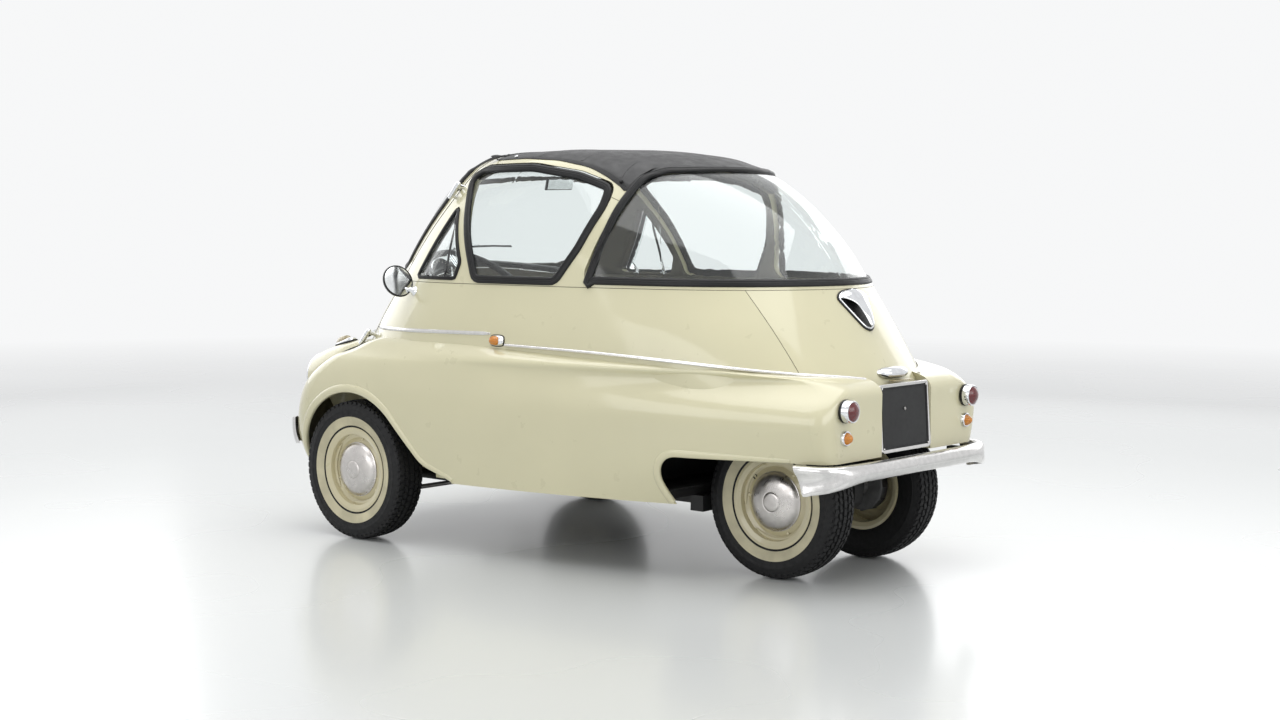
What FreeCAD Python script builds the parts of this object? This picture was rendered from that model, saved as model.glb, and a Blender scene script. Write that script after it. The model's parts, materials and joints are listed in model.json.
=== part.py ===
"""Three-seat bubble car with a front door: a parametric model in millimetres.

Frame: +Z up, the front of the car towards -Y, the car's left side towards +X. The origin is on the
ground, midway between the front and rear axles, on the centre plane.
"""
import FreeCAD
import Part
import Sketcher

import math
import os

from FreeCAD import Placement, Rotation, Vector

DOC = FreeCAD.newDocument("bubble_car")

# ---------------------------------------------------------------- driving dimensions, in millimetres
SIZES = {
    # overall
    "wheel_base": 1500,
    "body_width": 1340,
    "roof_height": 1328,
    # wheels and tracks
    "front_track": 1200,
    "rear_track": 486,
    "tyre_radius": 238.5,
    "tyre_width": 116,
    "rim_radius": 145,
    "rim_width": 92,
    "hubcap_radius": 91,
    "axle_radius": 16,
    "hub_radius": 34,
    "kingpin_radius": 11,
    "kingpin_clearance": 0.08,
    "kingpin_offset": 78,
    # body shell
    "wall": 26,
    "wing_skin": 8,
    "door_wall": 32,
    "door_gap": 5,
    "belt_height": 885,
    "floor_height": 232,
    "floor_thickness": 24,
    "bulkhead_station": 300,
    "bulkhead_thickness": 14,
    "shelf_height": 668,
    "tail_edge_height": 388,
    "wheel_well_inside": 412,
    # glass and its rubber
    "glass_thickness": 5,
    "seal_width": 25,
    "seal_stand": 5,
    "roof_cloth": 8,
    # lamps and plate
    "headlamp_radius": 82,
    "tail_lamp_radius": 31,
    "amber_lamp_radius": 20.5,
    "plate_width": 275,
    "plate_height": 200,
    "plate_thickness": 3,
    "bumper_height": 90,
    "bumper_bar_radius": 28,
    "mirror_radius": 54,
    # inside
    "seat_width": 940,
    "seat_depth": 430,
    "seat_height": 545,
    "seat_thickness": 130,
    "backrest_height": 330,
    "backrest_thickness": 90,
    "wheel_rim_radius": 195,
    "wheel_grip_radius": 10,
    "column_radius": 17,
    "frame_tube": 50,
}

SHEET = DOC.addObject("Spreadsheet::Sheet", "Sizes")
for line, (alias, number) in enumerate(SIZES.items(), start=1):
    SHEET.set(f"A{line}", alias)
    SHEET.set(f"B{line}", str(number))
    SHEET.setAlias(f"B{line}", alias)
DOC.recompute()


class Dim:
    """A length that carries both its value and the expression that ties it to the sheet."""

    def __init__(self, value, text):
        self.value = float(value)
        self.text = text

    def join(self, other, sign, value):
        other_text = other.text if isinstance(other, Dim) else repr(float(other))
        return Dim(value, f"({self.text} {sign} {other_text})")

    def __add__(self, other):
        return self.join(other, "+", self.value + plain(other))

    __radd__ = __add__

    def __sub__(self, other):
        return self.join(other, "-", self.value - plain(other))

    def __mul__(self, other):
        return self.join(other, "*", self.value * plain(other))

    def __truediv__(self, other):
        return self.join(other, "/", self.value / plain(other))

    def __rsub__(self, other):
        return -self + other

    def __neg__(self):
        return Dim(-self.value, f"(0 - {self.text})")


def plain(length):
    """The number of a Dim, or of a plain number."""
    return length.value if isinstance(length, Dim) else float(length)


def text(length):
    """The expression of a Dim, or of a plain number."""
    return length.text if isinstance(length, Dim) else repr(float(length))


def dim(alias):
    """A size of the sheet, for use in expressions."""
    return Dim(SHEET.get(alias), f"Sizes.{alias}")


def size(alias):
    """A size of the sheet, as a plain number."""
    return float(SHEET.get(alias))


# ---------------------------------------------------------------- the drawing and the overall sizes
DRAWN_WHEEL_BASE = 1500.0
DRAWN_HALF_WIDTH = 670.0
DRAWN_ROOF = 1328.0
BELT = size("belt_height")
ACROSS = size("body_width") / 2 / DRAWN_HALF_WIDTH
ALONG = size("wheel_base") / DRAWN_WHEEL_BASE
UPWARD = (size("roof_height") - BELT) / (DRAWN_ROOF - BELT)


def across(x):
    """A drawn distance from the centre plane, at the real width."""
    return x * ACROSS


def along(y):
    """A drawn station, at the real wheelbase."""
    return y * ALONG


def across_dim(x):
    """A drawn distance from the centre plane, tied to the body width."""
    return dim("body_width") * (x / 2 / DRAWN_HALF_WIDTH)


def along_dim(y):
    """A drawn station, tied to the wheelbase."""
    return dim("wheel_base") * (y / DRAWN_WHEEL_BASE)


def up(z):
    """A drawn height: what lies above the belt line follows the roof height."""
    return z if z <= BELT else BELT + (z - BELT) * UPWARD


def at(x, y, z):
    """A drawn point of the body, at the real overall sizes."""
    return Vector(across(x), along(y), up(z))


# ---------------------------------------------------------------- helpers
FAR = 2400.0
NODES = []


def node(label, shape):
    """Adds a finished sub-part whose shape is made by Part's own functions."""
    feature = DOC.addObject("Part::Feature", label)
    feature.Label = label
    feature.Shape = shape
    feature.Placement = Placement()
    NODES.append(feature)
    return feature


def keep(feature, label):
    """Names a finished parametric object as a sub-part."""
    feature.Label = label
    NODES.append(feature)
    return feature


def origin_plane(body, role):
    return next(f for f in body.Origin.OriginFeatures if f.Role == role)


def arc_between(start, end, radius):
    """An arc from start to end that turns left when radius is positive, right when it is negative."""
    if radius < 0:
        return arc_between(end, start, -radius)
    chord = end - start
    half = chord.Length / 2
    reach = max(radius, half * 1.0001)
    left = Vector(-chord.y, chord.x, 0).normalize()
    return Part.Arc(start, (start + end) / 2 - left * (reach - math.sqrt(reach**2 - half**2)), end)


def vertex_at(sketch, index, corner):
    """Which end of a sketch curve lies at a corner: 1 is its start and 2 its end."""
    return 1 if sketch.Geometry[index].StartPoint.distanceToPoint(corner) < 1e-4 else 2


def sketch_outline(body, name, role, points):
    """A closed sketch on an origin plane, whose corners are tied to the sheet.

    points: (u, v) or (u, v, radius). A radius makes the side that ends there an arc, which turns
    left when it is positive.
    """
    sketch = body.newObject("Sketcher::SketchObject", name)
    sketch.AttachmentSupport = (origin_plane(body, role), [""])
    sketch.MapMode = "FlatFace"
    corners = [Vector(plain(p[0]), plain(p[1]), 0) for p in points]
    count = len(points)
    for index, end in enumerate(corners):
        start = corners[index - 1]
        if len(points[index]) > 2:
            sketch.addGeometry(arc_between(start, end, plain(points[index][2])), False)
        else:
            sketch.addGeometry(Part.LineSegment(start, end), False)
    for index, corner in enumerate(corners):
        after = (index + 1) % count
        here = vertex_at(sketch, index, corner)
        there = vertex_at(sketch, after, corner)
        sketch.addConstraint(Sketcher.Constraint("Coincident", index, here, after, there))
        for kind, length in (("DistanceX", points[index][0]), ("DistanceY", points[index][1])):
            number = sketch.addConstraint(
                Sketcher.Constraint(kind, -1, 1, index, here, plain(length))
            )
            if isinstance(length, Dim):
                sketch.setExpression(f"Constraints[{number}]", length.text)
    return sketch


def lathe(label, points, axis="X"):
    """A body turned about the X or Y axis from an outline of (along the axis, radius) points."""
    body = DOC.addObject("PartDesign::Body", label)
    role = "XY_Plane"
    outline = points if axis == "X" else [(p[1], p[0], *flip(p)) for p in points]
    sketch = sketch_outline(body, f"{label}_outline", role, outline)
    turn = body.newObject("PartDesign::Revolution", f"{label}_turn")
    turn.Profile = sketch
    turn.ReferenceAxis = (sketch, ["H_Axis" if axis == "X" else "V_Axis"])
    turn.Angle = 360
    body.Tip = turn
    return body


def flip(point):
    """The radius of an outline's side once the outline is mirrored."""
    return tuple(-plain(r) for r in point[2:])


def padded(label, role, points, thickness):
    """A body padded both ways from an outline on an origin plane."""
    body = DOC.addObject("PartDesign::Body", label)
    sketch = sketch_outline(body, f"{label}_outline", role, points)
    pad = body.newObject("PartDesign::Pad", f"{label}_pad")
    pad.Profile = sketch
    pad.Length = plain(thickness)
    if isinstance(thickness, Dim):
        pad.setExpression("Length", thickness.text)
    pad.Midplane = True
    body.Tip = pad
    return keep(body, label)


def moved(feature, x, y, z):
    """Places a feature at a point given by numbers or Dims."""
    feature.Placement = Placement(Vector(plain(x), plain(y), plain(z)), feature.Placement.Rotation)
    for letter, length in (("x", x), ("y", y), ("z", z)):
        if isinstance(length, Dim):
            feature.setExpression(f".Placement.Base.{letter}", length.text)
    return feature


def primitive(kind, name, base, direction=Vector(0, 0, 1), **sizes):
    """A Part primitive tied to the sheet, standing at base with its own axis along a direction."""
    feature = DOC.addObject(kind, name)
    for side, length in sizes.items():
        setattr(feature, side, plain(length))
        if isinstance(length, Dim):
            feature.setExpression(side, length.text)
    feature.Placement.Rotation = Rotation(Vector(0, 0, 1), direction)
    return moved(feature, *base)


def block(name, low, high):
    """A box from its lowest to its highest corner, given by numbers or Dims."""
    length, width, height = (b - a for a, b in zip(low, high))
    return primitive("Part::Box", name, low, Length=length, Width=width, Height=height)


def bar(name, start, length, radius, direction=Vector(1, 0, 0)):
    """A round bar of a length and a radius, from its start along a direction."""
    return primitive("Part::Cylinder", name, start, direction, Radius=radius, Height=length)


def joined(label, parts):
    """Several features fused into one sub-part."""
    feature = DOC.addObject("Part::MultiFuse", label)
    feature.Shapes = parts
    return keep(feature, label)


def mirrored(shape):
    """The shape on the car's other side."""
    return shape.mirror(Vector(0, 0, 0), Vector(1, 0, 0))


def both_sides(shape):
    """A left-hand shape together with its right-hand copy."""
    return Part.makeCompound([shape, mirrored(shape)])


def side_prism(points, x_low=-FAR, x_high=FAR, grow=0):
    """A prism along X from a side-view outline of (y, z) or (y, z, corner radius) points."""
    face = outline_face(points, lambda y, z: Vector(x_low, y, z), grow)
    return face.extrude(Vector(x_high - x_low, 0, 0))


def front_prism(points, y_low=-FAR, y_high=FAR, grow=0):
    """A prism along Y from a front-view outline of (x, z) or (x, z, corner radius) points."""
    face = outline_face(points, lambda x, z: Vector(x, y_low, z), grow)
    return face.extrude(Vector(0, y_high - y_low, 0))


def plan_prism(points, z_low, z_high, grow=0):
    """A prism along Z from a plan outline of (x, y) or (x, y, corner radius) points."""
    face = outline_face(points, lambda x, y: Vector(x, y, z_low), grow)
    return face.extrude(Vector(0, 0, z_high - z_low))


def outline_face(points, lift, grow=0):
    """A face inside straight sides with rounded corners, grown outwards by grow."""
    places = [lift(p[0], p[1]) for p in points]
    edges = []
    starts = []
    ends = []
    for index, corner in enumerate(places):
        radius = points[index][2] if len(points[index]) > 2 else 0
        into = (corner - places[index - 1]).normalize()
        out = (places[(index + 1) % len(places)] - corner).normalize()
        turn = into.getAngle(out)
        cut = radius * math.tan(turn / 2)
        first = corner - into * cut
        last = corner + out * cut
        starts.append(first)
        ends.append(last)
        if radius:
            inward = (out - into).normalize()
            middle = corner + inward * radius * (1 / math.cos(turn / 2) - 1)
            edges.append((index, Part.Arc(first, middle, last).toShape()))
    sides = []
    arcs = dict(edges)
    for index in range(len(places)):
        if index in arcs:
            sides.append(arcs[index])
        sides.append(Part.LineSegment(ends[index], starts[(index + 1) % len(places)]).toShape())
    face = Part.Face(Part.Wire(sides))
    return face.makeOffset2D(grow) if grow else face


def box_between(low, high):
    """A box from its lowest to its highest corner."""
    return Part.makeBox(high[0] - low[0], high[1] - low[1], high[2] - low[2], Vector(*low))


def rod(start, end, radius):
    """A round bar between two points."""
    return Part.makeCylinder(radius, (end - start).Length, start, end - start)


# ---------------------------------------------------------------- the cabin's egg
# Level outlines of the cabin shell, each of tangent arcs: the nose, two side arcs and the tail.
# z: height, nose and tail: the foremost and rearmost stations, half: greatest half width, at station
# mid, tail_turn: the angle in degrees that the tail arc turns through on each side, drop: share of
# the wall by which the lining hangs lower than the skin where the shell leans over.
CABIN = [
    # z, nose, tail, half, mid, tail_turn, drop
    (215, -1080, 975, 560, -500, 80, 0.0),
    (420, -1125, 1000, 592, -505, 80, 0.0),
    (606, -1110, 1002, 607, -490, 80, 0.0),
    (757, -1022, 908, 600, -420, 79, 0.0),
    (893, -925, 818, 577, -360, 75, 0.1),
    (1040, -850, 707, 545, -280, 70, 0.2),
    (1160, -790, 578, 503, -200, 63, 0.35),
    (1235, -715, 461, 475, -150, 57, 0.6),
    (1285, -600, 325, 440, -120, 50, 0.85),
    (1315, -420, 165, 345, -105, 45, 1.0),
    (1326, -240, 30, 160, -95, 45, 1.0),
]
NOSE_TURN = 45
LOFT_DEGREE = 2


def level(z, nose, tail, half, mid, tail_turn):
    """One closed level outline of the egg, from the tip of its nose."""

    def quarter(reach, turn):
        sine = math.sin(math.radians(turn))
        cosine = math.cos(math.radians(turn))
        spread = sine + cosine - 1
        end_r = (half * cosine - reach * (1 - sine)) / spread
        side_r = (reach * sine - half * (1 - cosine)) / spread
        join = Vector(end_r * sine, reach - end_r * (1 - cosine), 0)
        half_turn = math.radians(turn) / 2
        end_middle = Vector(end_r * math.sin(half_turn), reach - end_r * (1 - math.cos(half_turn)), 0)
        rest = math.radians(turn + 90) / 2
        side_middle = Vector(half - side_r * (1 - math.sin(rest)), side_r * math.cos(rest), 0)
        return end_middle, join, side_middle

    nose_middle, front, front_middle = quarter(mid - nose, NOSE_TURN)
    tail_middle, rear, rear_middle = quarter(tail - mid, tail_turn)

    def p(x, y):
        return Vector(x, mid + y, z)

    right = [
        (p(0, nose - mid), p(nose_middle.x, -nose_middle.y), p(front.x, -front.y)),
        (p(front.x, -front.y), p(front_middle.x, -front_middle.y), p(half, 0)),
        (p(half, 0), p(rear_middle.x, rear_middle.y), p(rear.x, rear.y)),
        (p(rear.x, rear.y), p(tail_middle.x, tail_middle.y), p(0, tail - mid)),
    ]
    left = [tuple(Vector(-v.x, v.y, v.z) for v in reversed(arc)) for arc in reversed(right)]
    return Part.Wire([Part.Arc(*arc).toShape() for arc in right + left])


def egg(inset):
    """The cabin's solid, its skin moved inwards by inset."""
    wires = []
    for z, nose, tail, half, mid, tail_turn, drop in CABIN:
        side = inset * (1 + 0.6 * drop)
        wires.append(
            level(
                up(z) - inset * drop,
                along(nose) + side,
                along(tail) - side,
                across(half) - side,
                along(mid),
                tail_turn,
            )
        )
    return Part.makeLoft(wires, True, False, False, LOFT_DEGREE)


# ---------------------------------------------------------------- the wings, from headlamp to tail
# Level outlines of the left wing: z, front and tail: its end stations, half: greatest half width, at
# station mid, side_r: radius of its side, front_r and tail_r: radii of its ends.
WING = [
    # z, front, tail, half, mid, side_r, front_r, tail_r
    (232, -1085, 1030, 636, -500, 3600, 120, 60),
    (340, -1115, 1042, 657, -650, 5600, 120, 60),
    (440, -1090, 1046, 669, -700, 6400, 118, 62),
    (540, -1030, 1044, 670, -690, 6300, 112, 70),
    (600, -950, 1034, 663, -600, 4600, 105, 90),
    (638, -865, 850, 650, -400, 3600, 95, 110),
    (666, -790, 600, 630, -380, 3000, 80, 110),
    (692, -700, 300, 602, -400, 2400, 60, 110),
]
WING_INSIDE = 140


def wing_level(z, front, tail, half, mid, side_r, front_r, tail_r):
    """One closed level outline of the left wing."""
    centre = Vector(half - side_r, mid, z)

    def tangent(station, radius):
        reach = side_r - radius
        ball = Vector(centre.x + math.sqrt(reach**2 - (station - mid) ** 2), station, z)
        return ball, centre + (ball - centre).normalize() * side_r

    front_ball, front_join = tangent(front + front_r, front_r)
    tail_ball, tail_join = tangent(tail - tail_r, tail_r)
    inner = front_ball + Vector(-front_r, 0, 0)
    nose = front_ball + Vector(0, -front_r, 0)
    half_turn = Vector(math.sin(math.pi / 4), -math.cos(math.pi / 4), 0)
    front_inner = front_ball + Vector(-half_turn.x, half_turn.y, 0) * front_r
    outward = (front_join - front_ball).normalize()
    front_outer = front_ball + (outward + Vector(0, -1, 0)).normalize() * front_r
    end = tail_ball + Vector(0, tail_r, 0)
    corner = tail_ball + Vector(math.sin(math.pi / 4), math.cos(math.pi / 4), 0) * tail_r
    halfway = (front_join - centre).normalize() + (tail_join - centre).normalize()
    middle = centre + halfway.normalize() * side_r
    inside = Vector(across(WING_INSIDE), tail, z)
    return Part.Wire(
        [
            Part.Arc(inner, front_inner, nose).toShape(),
            Part.Arc(nose, front_outer, front_join).toShape(),
            Part.Arc(front_join, middle, tail_join).toShape(),
            Part.Arc(tail_join, corner, end).toShape(),
            Part.LineSegment(end, inside).toShape(),
            Part.LineSegment(inside, inner).toShape(),
        ]
    )


def wing(inset):
    """The left wing's solid, its skin moved inwards by inset."""
    wires = []
    for z, front, tail, half, mid, side_r, front_r, tail_r in WING:
        wires.append(
            wing_level(
                z,
                along(front) + inset,
                along(tail) - inset,
                across(half) - inset,
                along(mid),
                side_r * ALONG - inset,
                front_r - inset,
                tail_r - inset,
            )
        )
    return Part.makeLoft(wires, True, False, False, LOFT_DEGREE)


SKIN = egg(0)
LINING = egg(size("wall"))
WING_LEFT = wing(0)
WING_HOLLOW = wing(size("wing_skin"))

# ---------------------------------------------------------------- lines that part the body
FLOOR = size("floor_height")
FLOOR_TOP = FLOOR + size("floor_thickness")
BULKHEAD = along(size("bulkhead_station"))
SHELF_TOP = size("shelf_height")
SHELF_THICKNESS = 28
SHELF = SHELF_TOP - SHELF_THICKNESS
TAIL_EDGE = size("tail_edge_height")
GAP = size("door_gap")
DOOR_SLOPE = 0.76
DOOR_LOW = (-833, 682)
DOOR_BOTTOM = 318
DOOR_TOP = 1292
DOOR_HALF = 318
DOOR_WAIST = (342, 622)
DOOR_SHOULDER = 500
HINGE_RELIEF = 26
LEAN = math.hypot(1, DOOR_SLOPE)


def seam(z):
    """The station of the inclined door seam at a drawn height above its foot."""
    return DOOR_LOW[0] + (z - DOOR_LOW[1]) * DOOR_SLOPE


def ahead_of_seam(grow, bottom=-FAR):
    """The space in front of the door seam and above a height, moved outwards by grow."""
    return side_prism(
        [
            (-FAR, bottom),
            (along(DOOR_LOW[0]) + grow * LEAN, bottom),
            (along(DOOR_LOW[0]) + grow * LEAN, DOOR_LOW[1]),
            (along(seam(DOOR_TOP)) + grow * LEAN, up(DOOR_TOP)),
            (along(seam(DOOR_TOP)) + grow * LEAN, FAR),
            (-FAR, FAR),
        ]
    )


def door_zone(grow):
    """What the door's outline takes from the shell, moved outwards by grow."""
    low = across(DOOR_HALF) + grow
    outline = [
        (low, DOOR_BOTTOM - grow, 60),
        (across(DOOR_WAIST[0]) + grow, DOOR_WAIST[1] - grow, 40),
        (across(DOOR_SHOULDER) + grow, DOOR_LOW[1] + 8 - grow),
        (FAR, DOOR_LOW[1] + 28),
        (FAR, FAR),
    ]
    left = [(-p[0], *p[1:]) for p in reversed(outline)]
    return ahead_of_seam(grow, DOOR_BOTTOM - grow).common(front_prism(outline + left))


DOOR_ZONE = door_zone(0)
DOOR_HOLE = door_zone(GAP)

TAIL_START = 450


def tail_zone():
    """What the tail lid takes: its seams run from the belt to the crease, then between the wings."""
    between = across(WING_INSIDE)
    side = [(across(345), BELT), (across(325), 645), (between, 612), (between, 0)]
    return front_prism(side + [(-x, z) for x, z in reversed(side)], along(TAIL_START), FAR)


# front wheel arch and rear wheel opening, seen from the side
ARCH = [
    (-1022, 100),
    (-1022, 510.5, 271),
    (-628.9, 510.5, 271),
    (-425.5, 284.6, 120),
    (-296, 238),
    (-296, 100),
]
ARCH_INSIDE = 560
REAR_CUT = [(575, 100), (500, 310, 90), (505, TAIL_EDGE, 60), (1300, TAIL_EDGE), (1300, 100)]


def drawn_side(points):
    """A side-view outline at the real overall sizes."""
    return [(along(p[0]), up(p[1]), *p[2:]) for p in points]


WELL_INSIDE = across(size("wheel_well_inside"))
WELL = [along(-1060), along(-440), 530.0]
HOUSING_SKIN = size("wing_skin")

# ---------------------------------------------------------------- windows
SEAL = size("seal_width")
SEAL_GRIP = 8
GLASS_SET = 2
GLASS = size("glass_thickness")
SIDE_WINDOW = [
    (-253, 889, 40),
    (-405, 1240, 42),
    (-330, 1275, 90),
    (-85, 1278, 300),
    (95, 1250, 160),
    (214, 1208, 38),
    (214, 1140, 160),
    (160, 1000, 200),
    (90, 889, 45),
]
VENT_WINDOW = [(-551, 896, 14), (-402, 1150, 14), (-311, 955, 20), (-330, 896, 14)]
REAR_WINDOW = [
    (172, 895, 38),
    (231, 1098, 300),
    (262, 1200, 300),
    (296, 1275, 60),
    (330, FAR),
    (FAR, FAR),
    (FAR, 895),
]
REAR_TOP_RADIUS = 480
REAR_TOP_CENTRE = -80
ROOF_EDGE = [
    (-332, FAR),
    (-332, 1290, 20),
    (-143, 1294, 400),
    (-6, 1287, 300),
    (113, 1265, 300),
    (182, 1233, 200),
    (253, 1190),
    (700, 1190),
    (700, FAR),
]
WINDSCREEN_BOTTOM = 905
WINDSCREEN_FRAME = 30


def rear_zone(grow):
    """The wraparound rear window, moved outwards by grow."""
    top = Part.makeCylinder(
        across(REAR_TOP_RADIUS) - grow, 2 * FAR, Vector(0, along(REAR_TOP_CENTRE), 0), Vector(0, 0, 1)
    )
    return side_prism(drawn_side(REAR_WINDOW), grow=grow).cut(top)


def windscreen_zone(grow):
    """The windscreen, parallel to the door seam, moved outwards by grow."""
    low = WINDSCREEN_BOTTOM - grow
    wide = across(462) + grow
    front = [(-wide, low, 70 + grow), (wide, low, 70 + grow), (wide, FAR), (-wide, FAR)]
    return ahead_of_seam(grow - WINDSCREEN_FRAME, low).common(front_prism(front))


# ---------------------------------------------------------------- shell panels
STANDING = egg(-size("seal_stand"))
HOLLOW = egg(size("wing_skin"))
GLASS_OUTSIDE = egg(GLASS_SET)
GLASS_INSIDE = egg(GLASS_SET + GLASS)
DOOR_LINING = egg(size("door_wall"))
WINGS = [WING_LEFT, mirrored(WING_LEFT)]
OUTER = SKIN.common(box_between((-FAR, -FAR, FLOOR), (FAR, FAR, FAR))).fuse(WINGS)
UPPER = SKIN.common(box_between((-FAR, -FAR, BELT), (FAR, FAR, FAR))).cut(LINING)

half_housing = box_between(
    (WELL_INSIDE - HOUSING_SKIN, WELL[0] - HOUSING_SKIN, 0),
    (FAR, WELL[1] + HOUSING_SKIN, WELL[2] + HOUSING_SKIN),
)
HOUSINGS = [half_housing, mirrored(half_housing)]
CABIN_LOW = LINING.common(box_between((-FAR, -FAR, 0), (FAR, BULKHEAD, SHELF_TOP))).cut(HOUSINGS)
CABIN_HIGH = LINING.common(box_between((-FAR, -FAR, SHELF), (FAR, FAR, FAR)))
BAY_BOX = box_between((-FAR, BULKHEAD, 0), (FAR, FAR, SHELF))
pod_hollow = WING_HOLLOW.common(
    box_between((across(WING_INSIDE) + size("wing_skin"), BULKHEAD, 0), (FAR, FAR, SHELF))
)
BAY = [HOLLOW.common(BAY_BOX), pod_hollow]
well_box = box_between((WELL_INSIDE, WELL[0], 0), (FAR, WELL[1], WELL[2]))
WELLS = [
    HOLLOW.common(well_box),
    WING_HOLLOW.common(well_box),
    side_prism(drawn_side(ARCH), across(ARCH_INSIDE), FAR),
]

left_shell = SKIN.common(box_between((0, -FAR, FLOOR), (FAR, FAR, BELT))).fuse(WING_LEFT)
for tool in [CABIN_LOW, CABIN_HIGH, DOOR_HOLE, side_prism(drawn_side(REAR_CUT))] + BAY + WELLS:
    left_shell = left_shell.cut(tool)
FRONT_ZONE = box_between(
    (-across(DOOR_HALF), -FAR, 0), (across(DOOR_HALF), along(-700), DOOR_BOTTOM + 200)
)
TAIL_ZONE = tail_zone()
side_body = left_shell.cut([FRONT_ZONE, TAIL_ZONE])


def whole(half):
    """A left half joined to its right half."""
    return half.fuse(mirrored(half)).removeSplitter()


node("side_body_left", side_body)
node("side_body_right", mirrored(side_body))
node("front_panel", whole(left_shell.common(FRONT_ZONE)))
node("tail_panel", whole(left_shell.common(TAIL_ZONE)))
SIDE_HOLES = [side_prism(drawn_side(outline), 0, FAR) for outline in (SIDE_WINDOW, VENT_WINDOW)]
ROOF_ZONE = side_prism(drawn_side(ROOF_EDGE)).cut(rear_zone(0))
node(
    "window_frames",
    UPPER.cut([DOOR_HOLE, rear_zone(0), ROOF_ZONE] + SIDE_HOLES + [mirrored(h) for h in SIDE_HOLES]),
)
node("fabric_roof", SKIN.cut(egg(size("roof_cloth"))).common(ROOF_ZONE))


GLASS_BAND = GLASS_OUTSIDE.cut(GLASS_INSIDE)


def seal_and_glass(zone, band):
    """A rubber seal round an opening, and the glass that it grips, from the opening's zone function."""
    glass = GLASS_BAND.common(zone(SEAL_GRIP - SEAL))
    ring = band.common(zone(0)).cut([zone(-SEAL), glass])
    return ring, glass


SEAL_BAND = STANDING.cut(LINING)
rear_seal, rear_glass = seal_and_glass(rear_zone, SEAL_BAND)
node("rear_glass_seal", rear_seal)
node("rear_glass", rear_glass)


def side_window_zone(outline):
    """The zone function of a left side window."""
    return lambda grow: side_prism(drawn_side(outline), 0, FAR, grow)


side_parts = [
    seal_and_glass(side_window_zone(outline), SEAL_BAND) for outline in (SIDE_WINDOW, VENT_WINDOW)
]
node("side_window_seals", Part.makeCompound([both_sides(seal) for seal, glass in side_parts]))
node("side_glass", Part.makeCompound([both_sides(glass) for seal, glass in side_parts]))

# ---------------------------------------------------------------- the front door
WINDSCREEN_HOLE = windscreen_zone(0)
screen_seal, screen = seal_and_glass(windscreen_zone, STANDING.cut(DOOR_LINING))
relief_box = box_between(
    (across(DOOR_WAIST[0]) - HINGE_RELIEF, -FAR, DOOR_BOTTOM), (FAR, FAR, DOOR_LOW[1])
)
door = SKIN.cut(DOOR_LINING).common(DOOR_ZONE)
node("front_door", door.cut([WINDSCREEN_HOLE, HOLLOW.common(relief_box)]))
node("windscreen_seal", screen_seal)
node("windscreen", screen)
PANEL_LOW = 842
PANEL_HIGH = 880
PANEL_BACK = -700
node(
    "instrument_panel",
    DOOR_LINING.common(
        box_between((-across(430), -FAR, PANEL_LOW), (across(430), along(PANEL_BACK), PANEL_HIGH))
    ),
)

# ---------------------------------------------------------------- floor, bulkhead and shelf
FLOOR_END = 455
BULKHEAD_FACE = BULKHEAD - size("bulkhead_thickness")
floor_box = box_between((-FAR, -FAR, FLOOR), (FAR, along(FLOOR_END), FLOOR_TOP))
floor = LINING.common(floor_box).cut(HOUSINGS)
bulkhead = LINING.common(box_between((-FAR, BULKHEAD_FACE, FLOOR), (FAR, BULKHEAD, SHELF_TOP)))
shelf = LINING.common(box_between((-FAR, BULKHEAD_FACE, SHELF), (FAR, FAR, SHELF_TOP)))
node("floor_pan", floor.fuse([bulkhead, shelf]))

# ---------------------------------------------------------------- lamps, plate and trim on the shell
LAMP_X = 480
NACELLE = [
    # y, z, radius
    (-1085, 533, 85),
    (-1000, 552, 95),
    (-935, 572, 90),
    (-891, 590, 80),
    (-800, 630, 45),
]
rings = [Part.Wire(Part.Circle(at(LAMP_X, y, z), Vector(0, 1, 0), r).toShape()) for y, z, r in NACELLE]
nacelle = Part.makeLoft(rings, True, False, False, LOFT_DEGREE).cut(OUTER)
node("nacelles", both_sides(nacelle))

HEADLAMP = size("headlamp_radius")
BEZEL = 13
LENS_RADIUS = HEADLAMP - 10
LENS_DOME = 17
lamp_front = at(LAMP_X, -1085, 533)
bezel = rod(lamp_front - Vector(0, BEZEL, 0), lamp_front, HEADLAMP)
ball_radius = (LENS_RADIUS**2 + LENS_DOME**2) / (2 * LENS_DOME)
ball = Part.makeSphere(ball_radius, lamp_front + Vector(0, ball_radius - LENS_DOME - BEZEL, 0))
lens = ball.common(rod(lamp_front - Vector(0, BEZEL + LENS_DOME, 0), lamp_front, LENS_RADIUS))
node("headlamps", both_sides(bezel.fuse(lens)))

front_marker = rod(at(500, -998, 652), at(500, -925, 664), 14).cut([OUTER, nacelle])
side_marker = rod(at(560, -120, 707), at(614, -120, 707), 15).cut(OUTER)
node("marker_lamps", Part.makeCompound([both_sides(front_marker), both_sides(side_marker)]))

TAIL_LAMPS = [
    # x, y of the lens, z, radius
    (346, 1083, 542, size("tail_lamp_radius")),
    (345, 1070, 462, size("amber_lamp_radius")),
]
lamp_bodies = [rod(at(x, 980, z), at(x, y, z), radius).cut(OUTER) for x, y, z, radius in TAIL_LAMPS]
node("tail_lamps", Part.makeCompound([both_sides(lamp) for lamp in lamp_bodies]))

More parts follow.
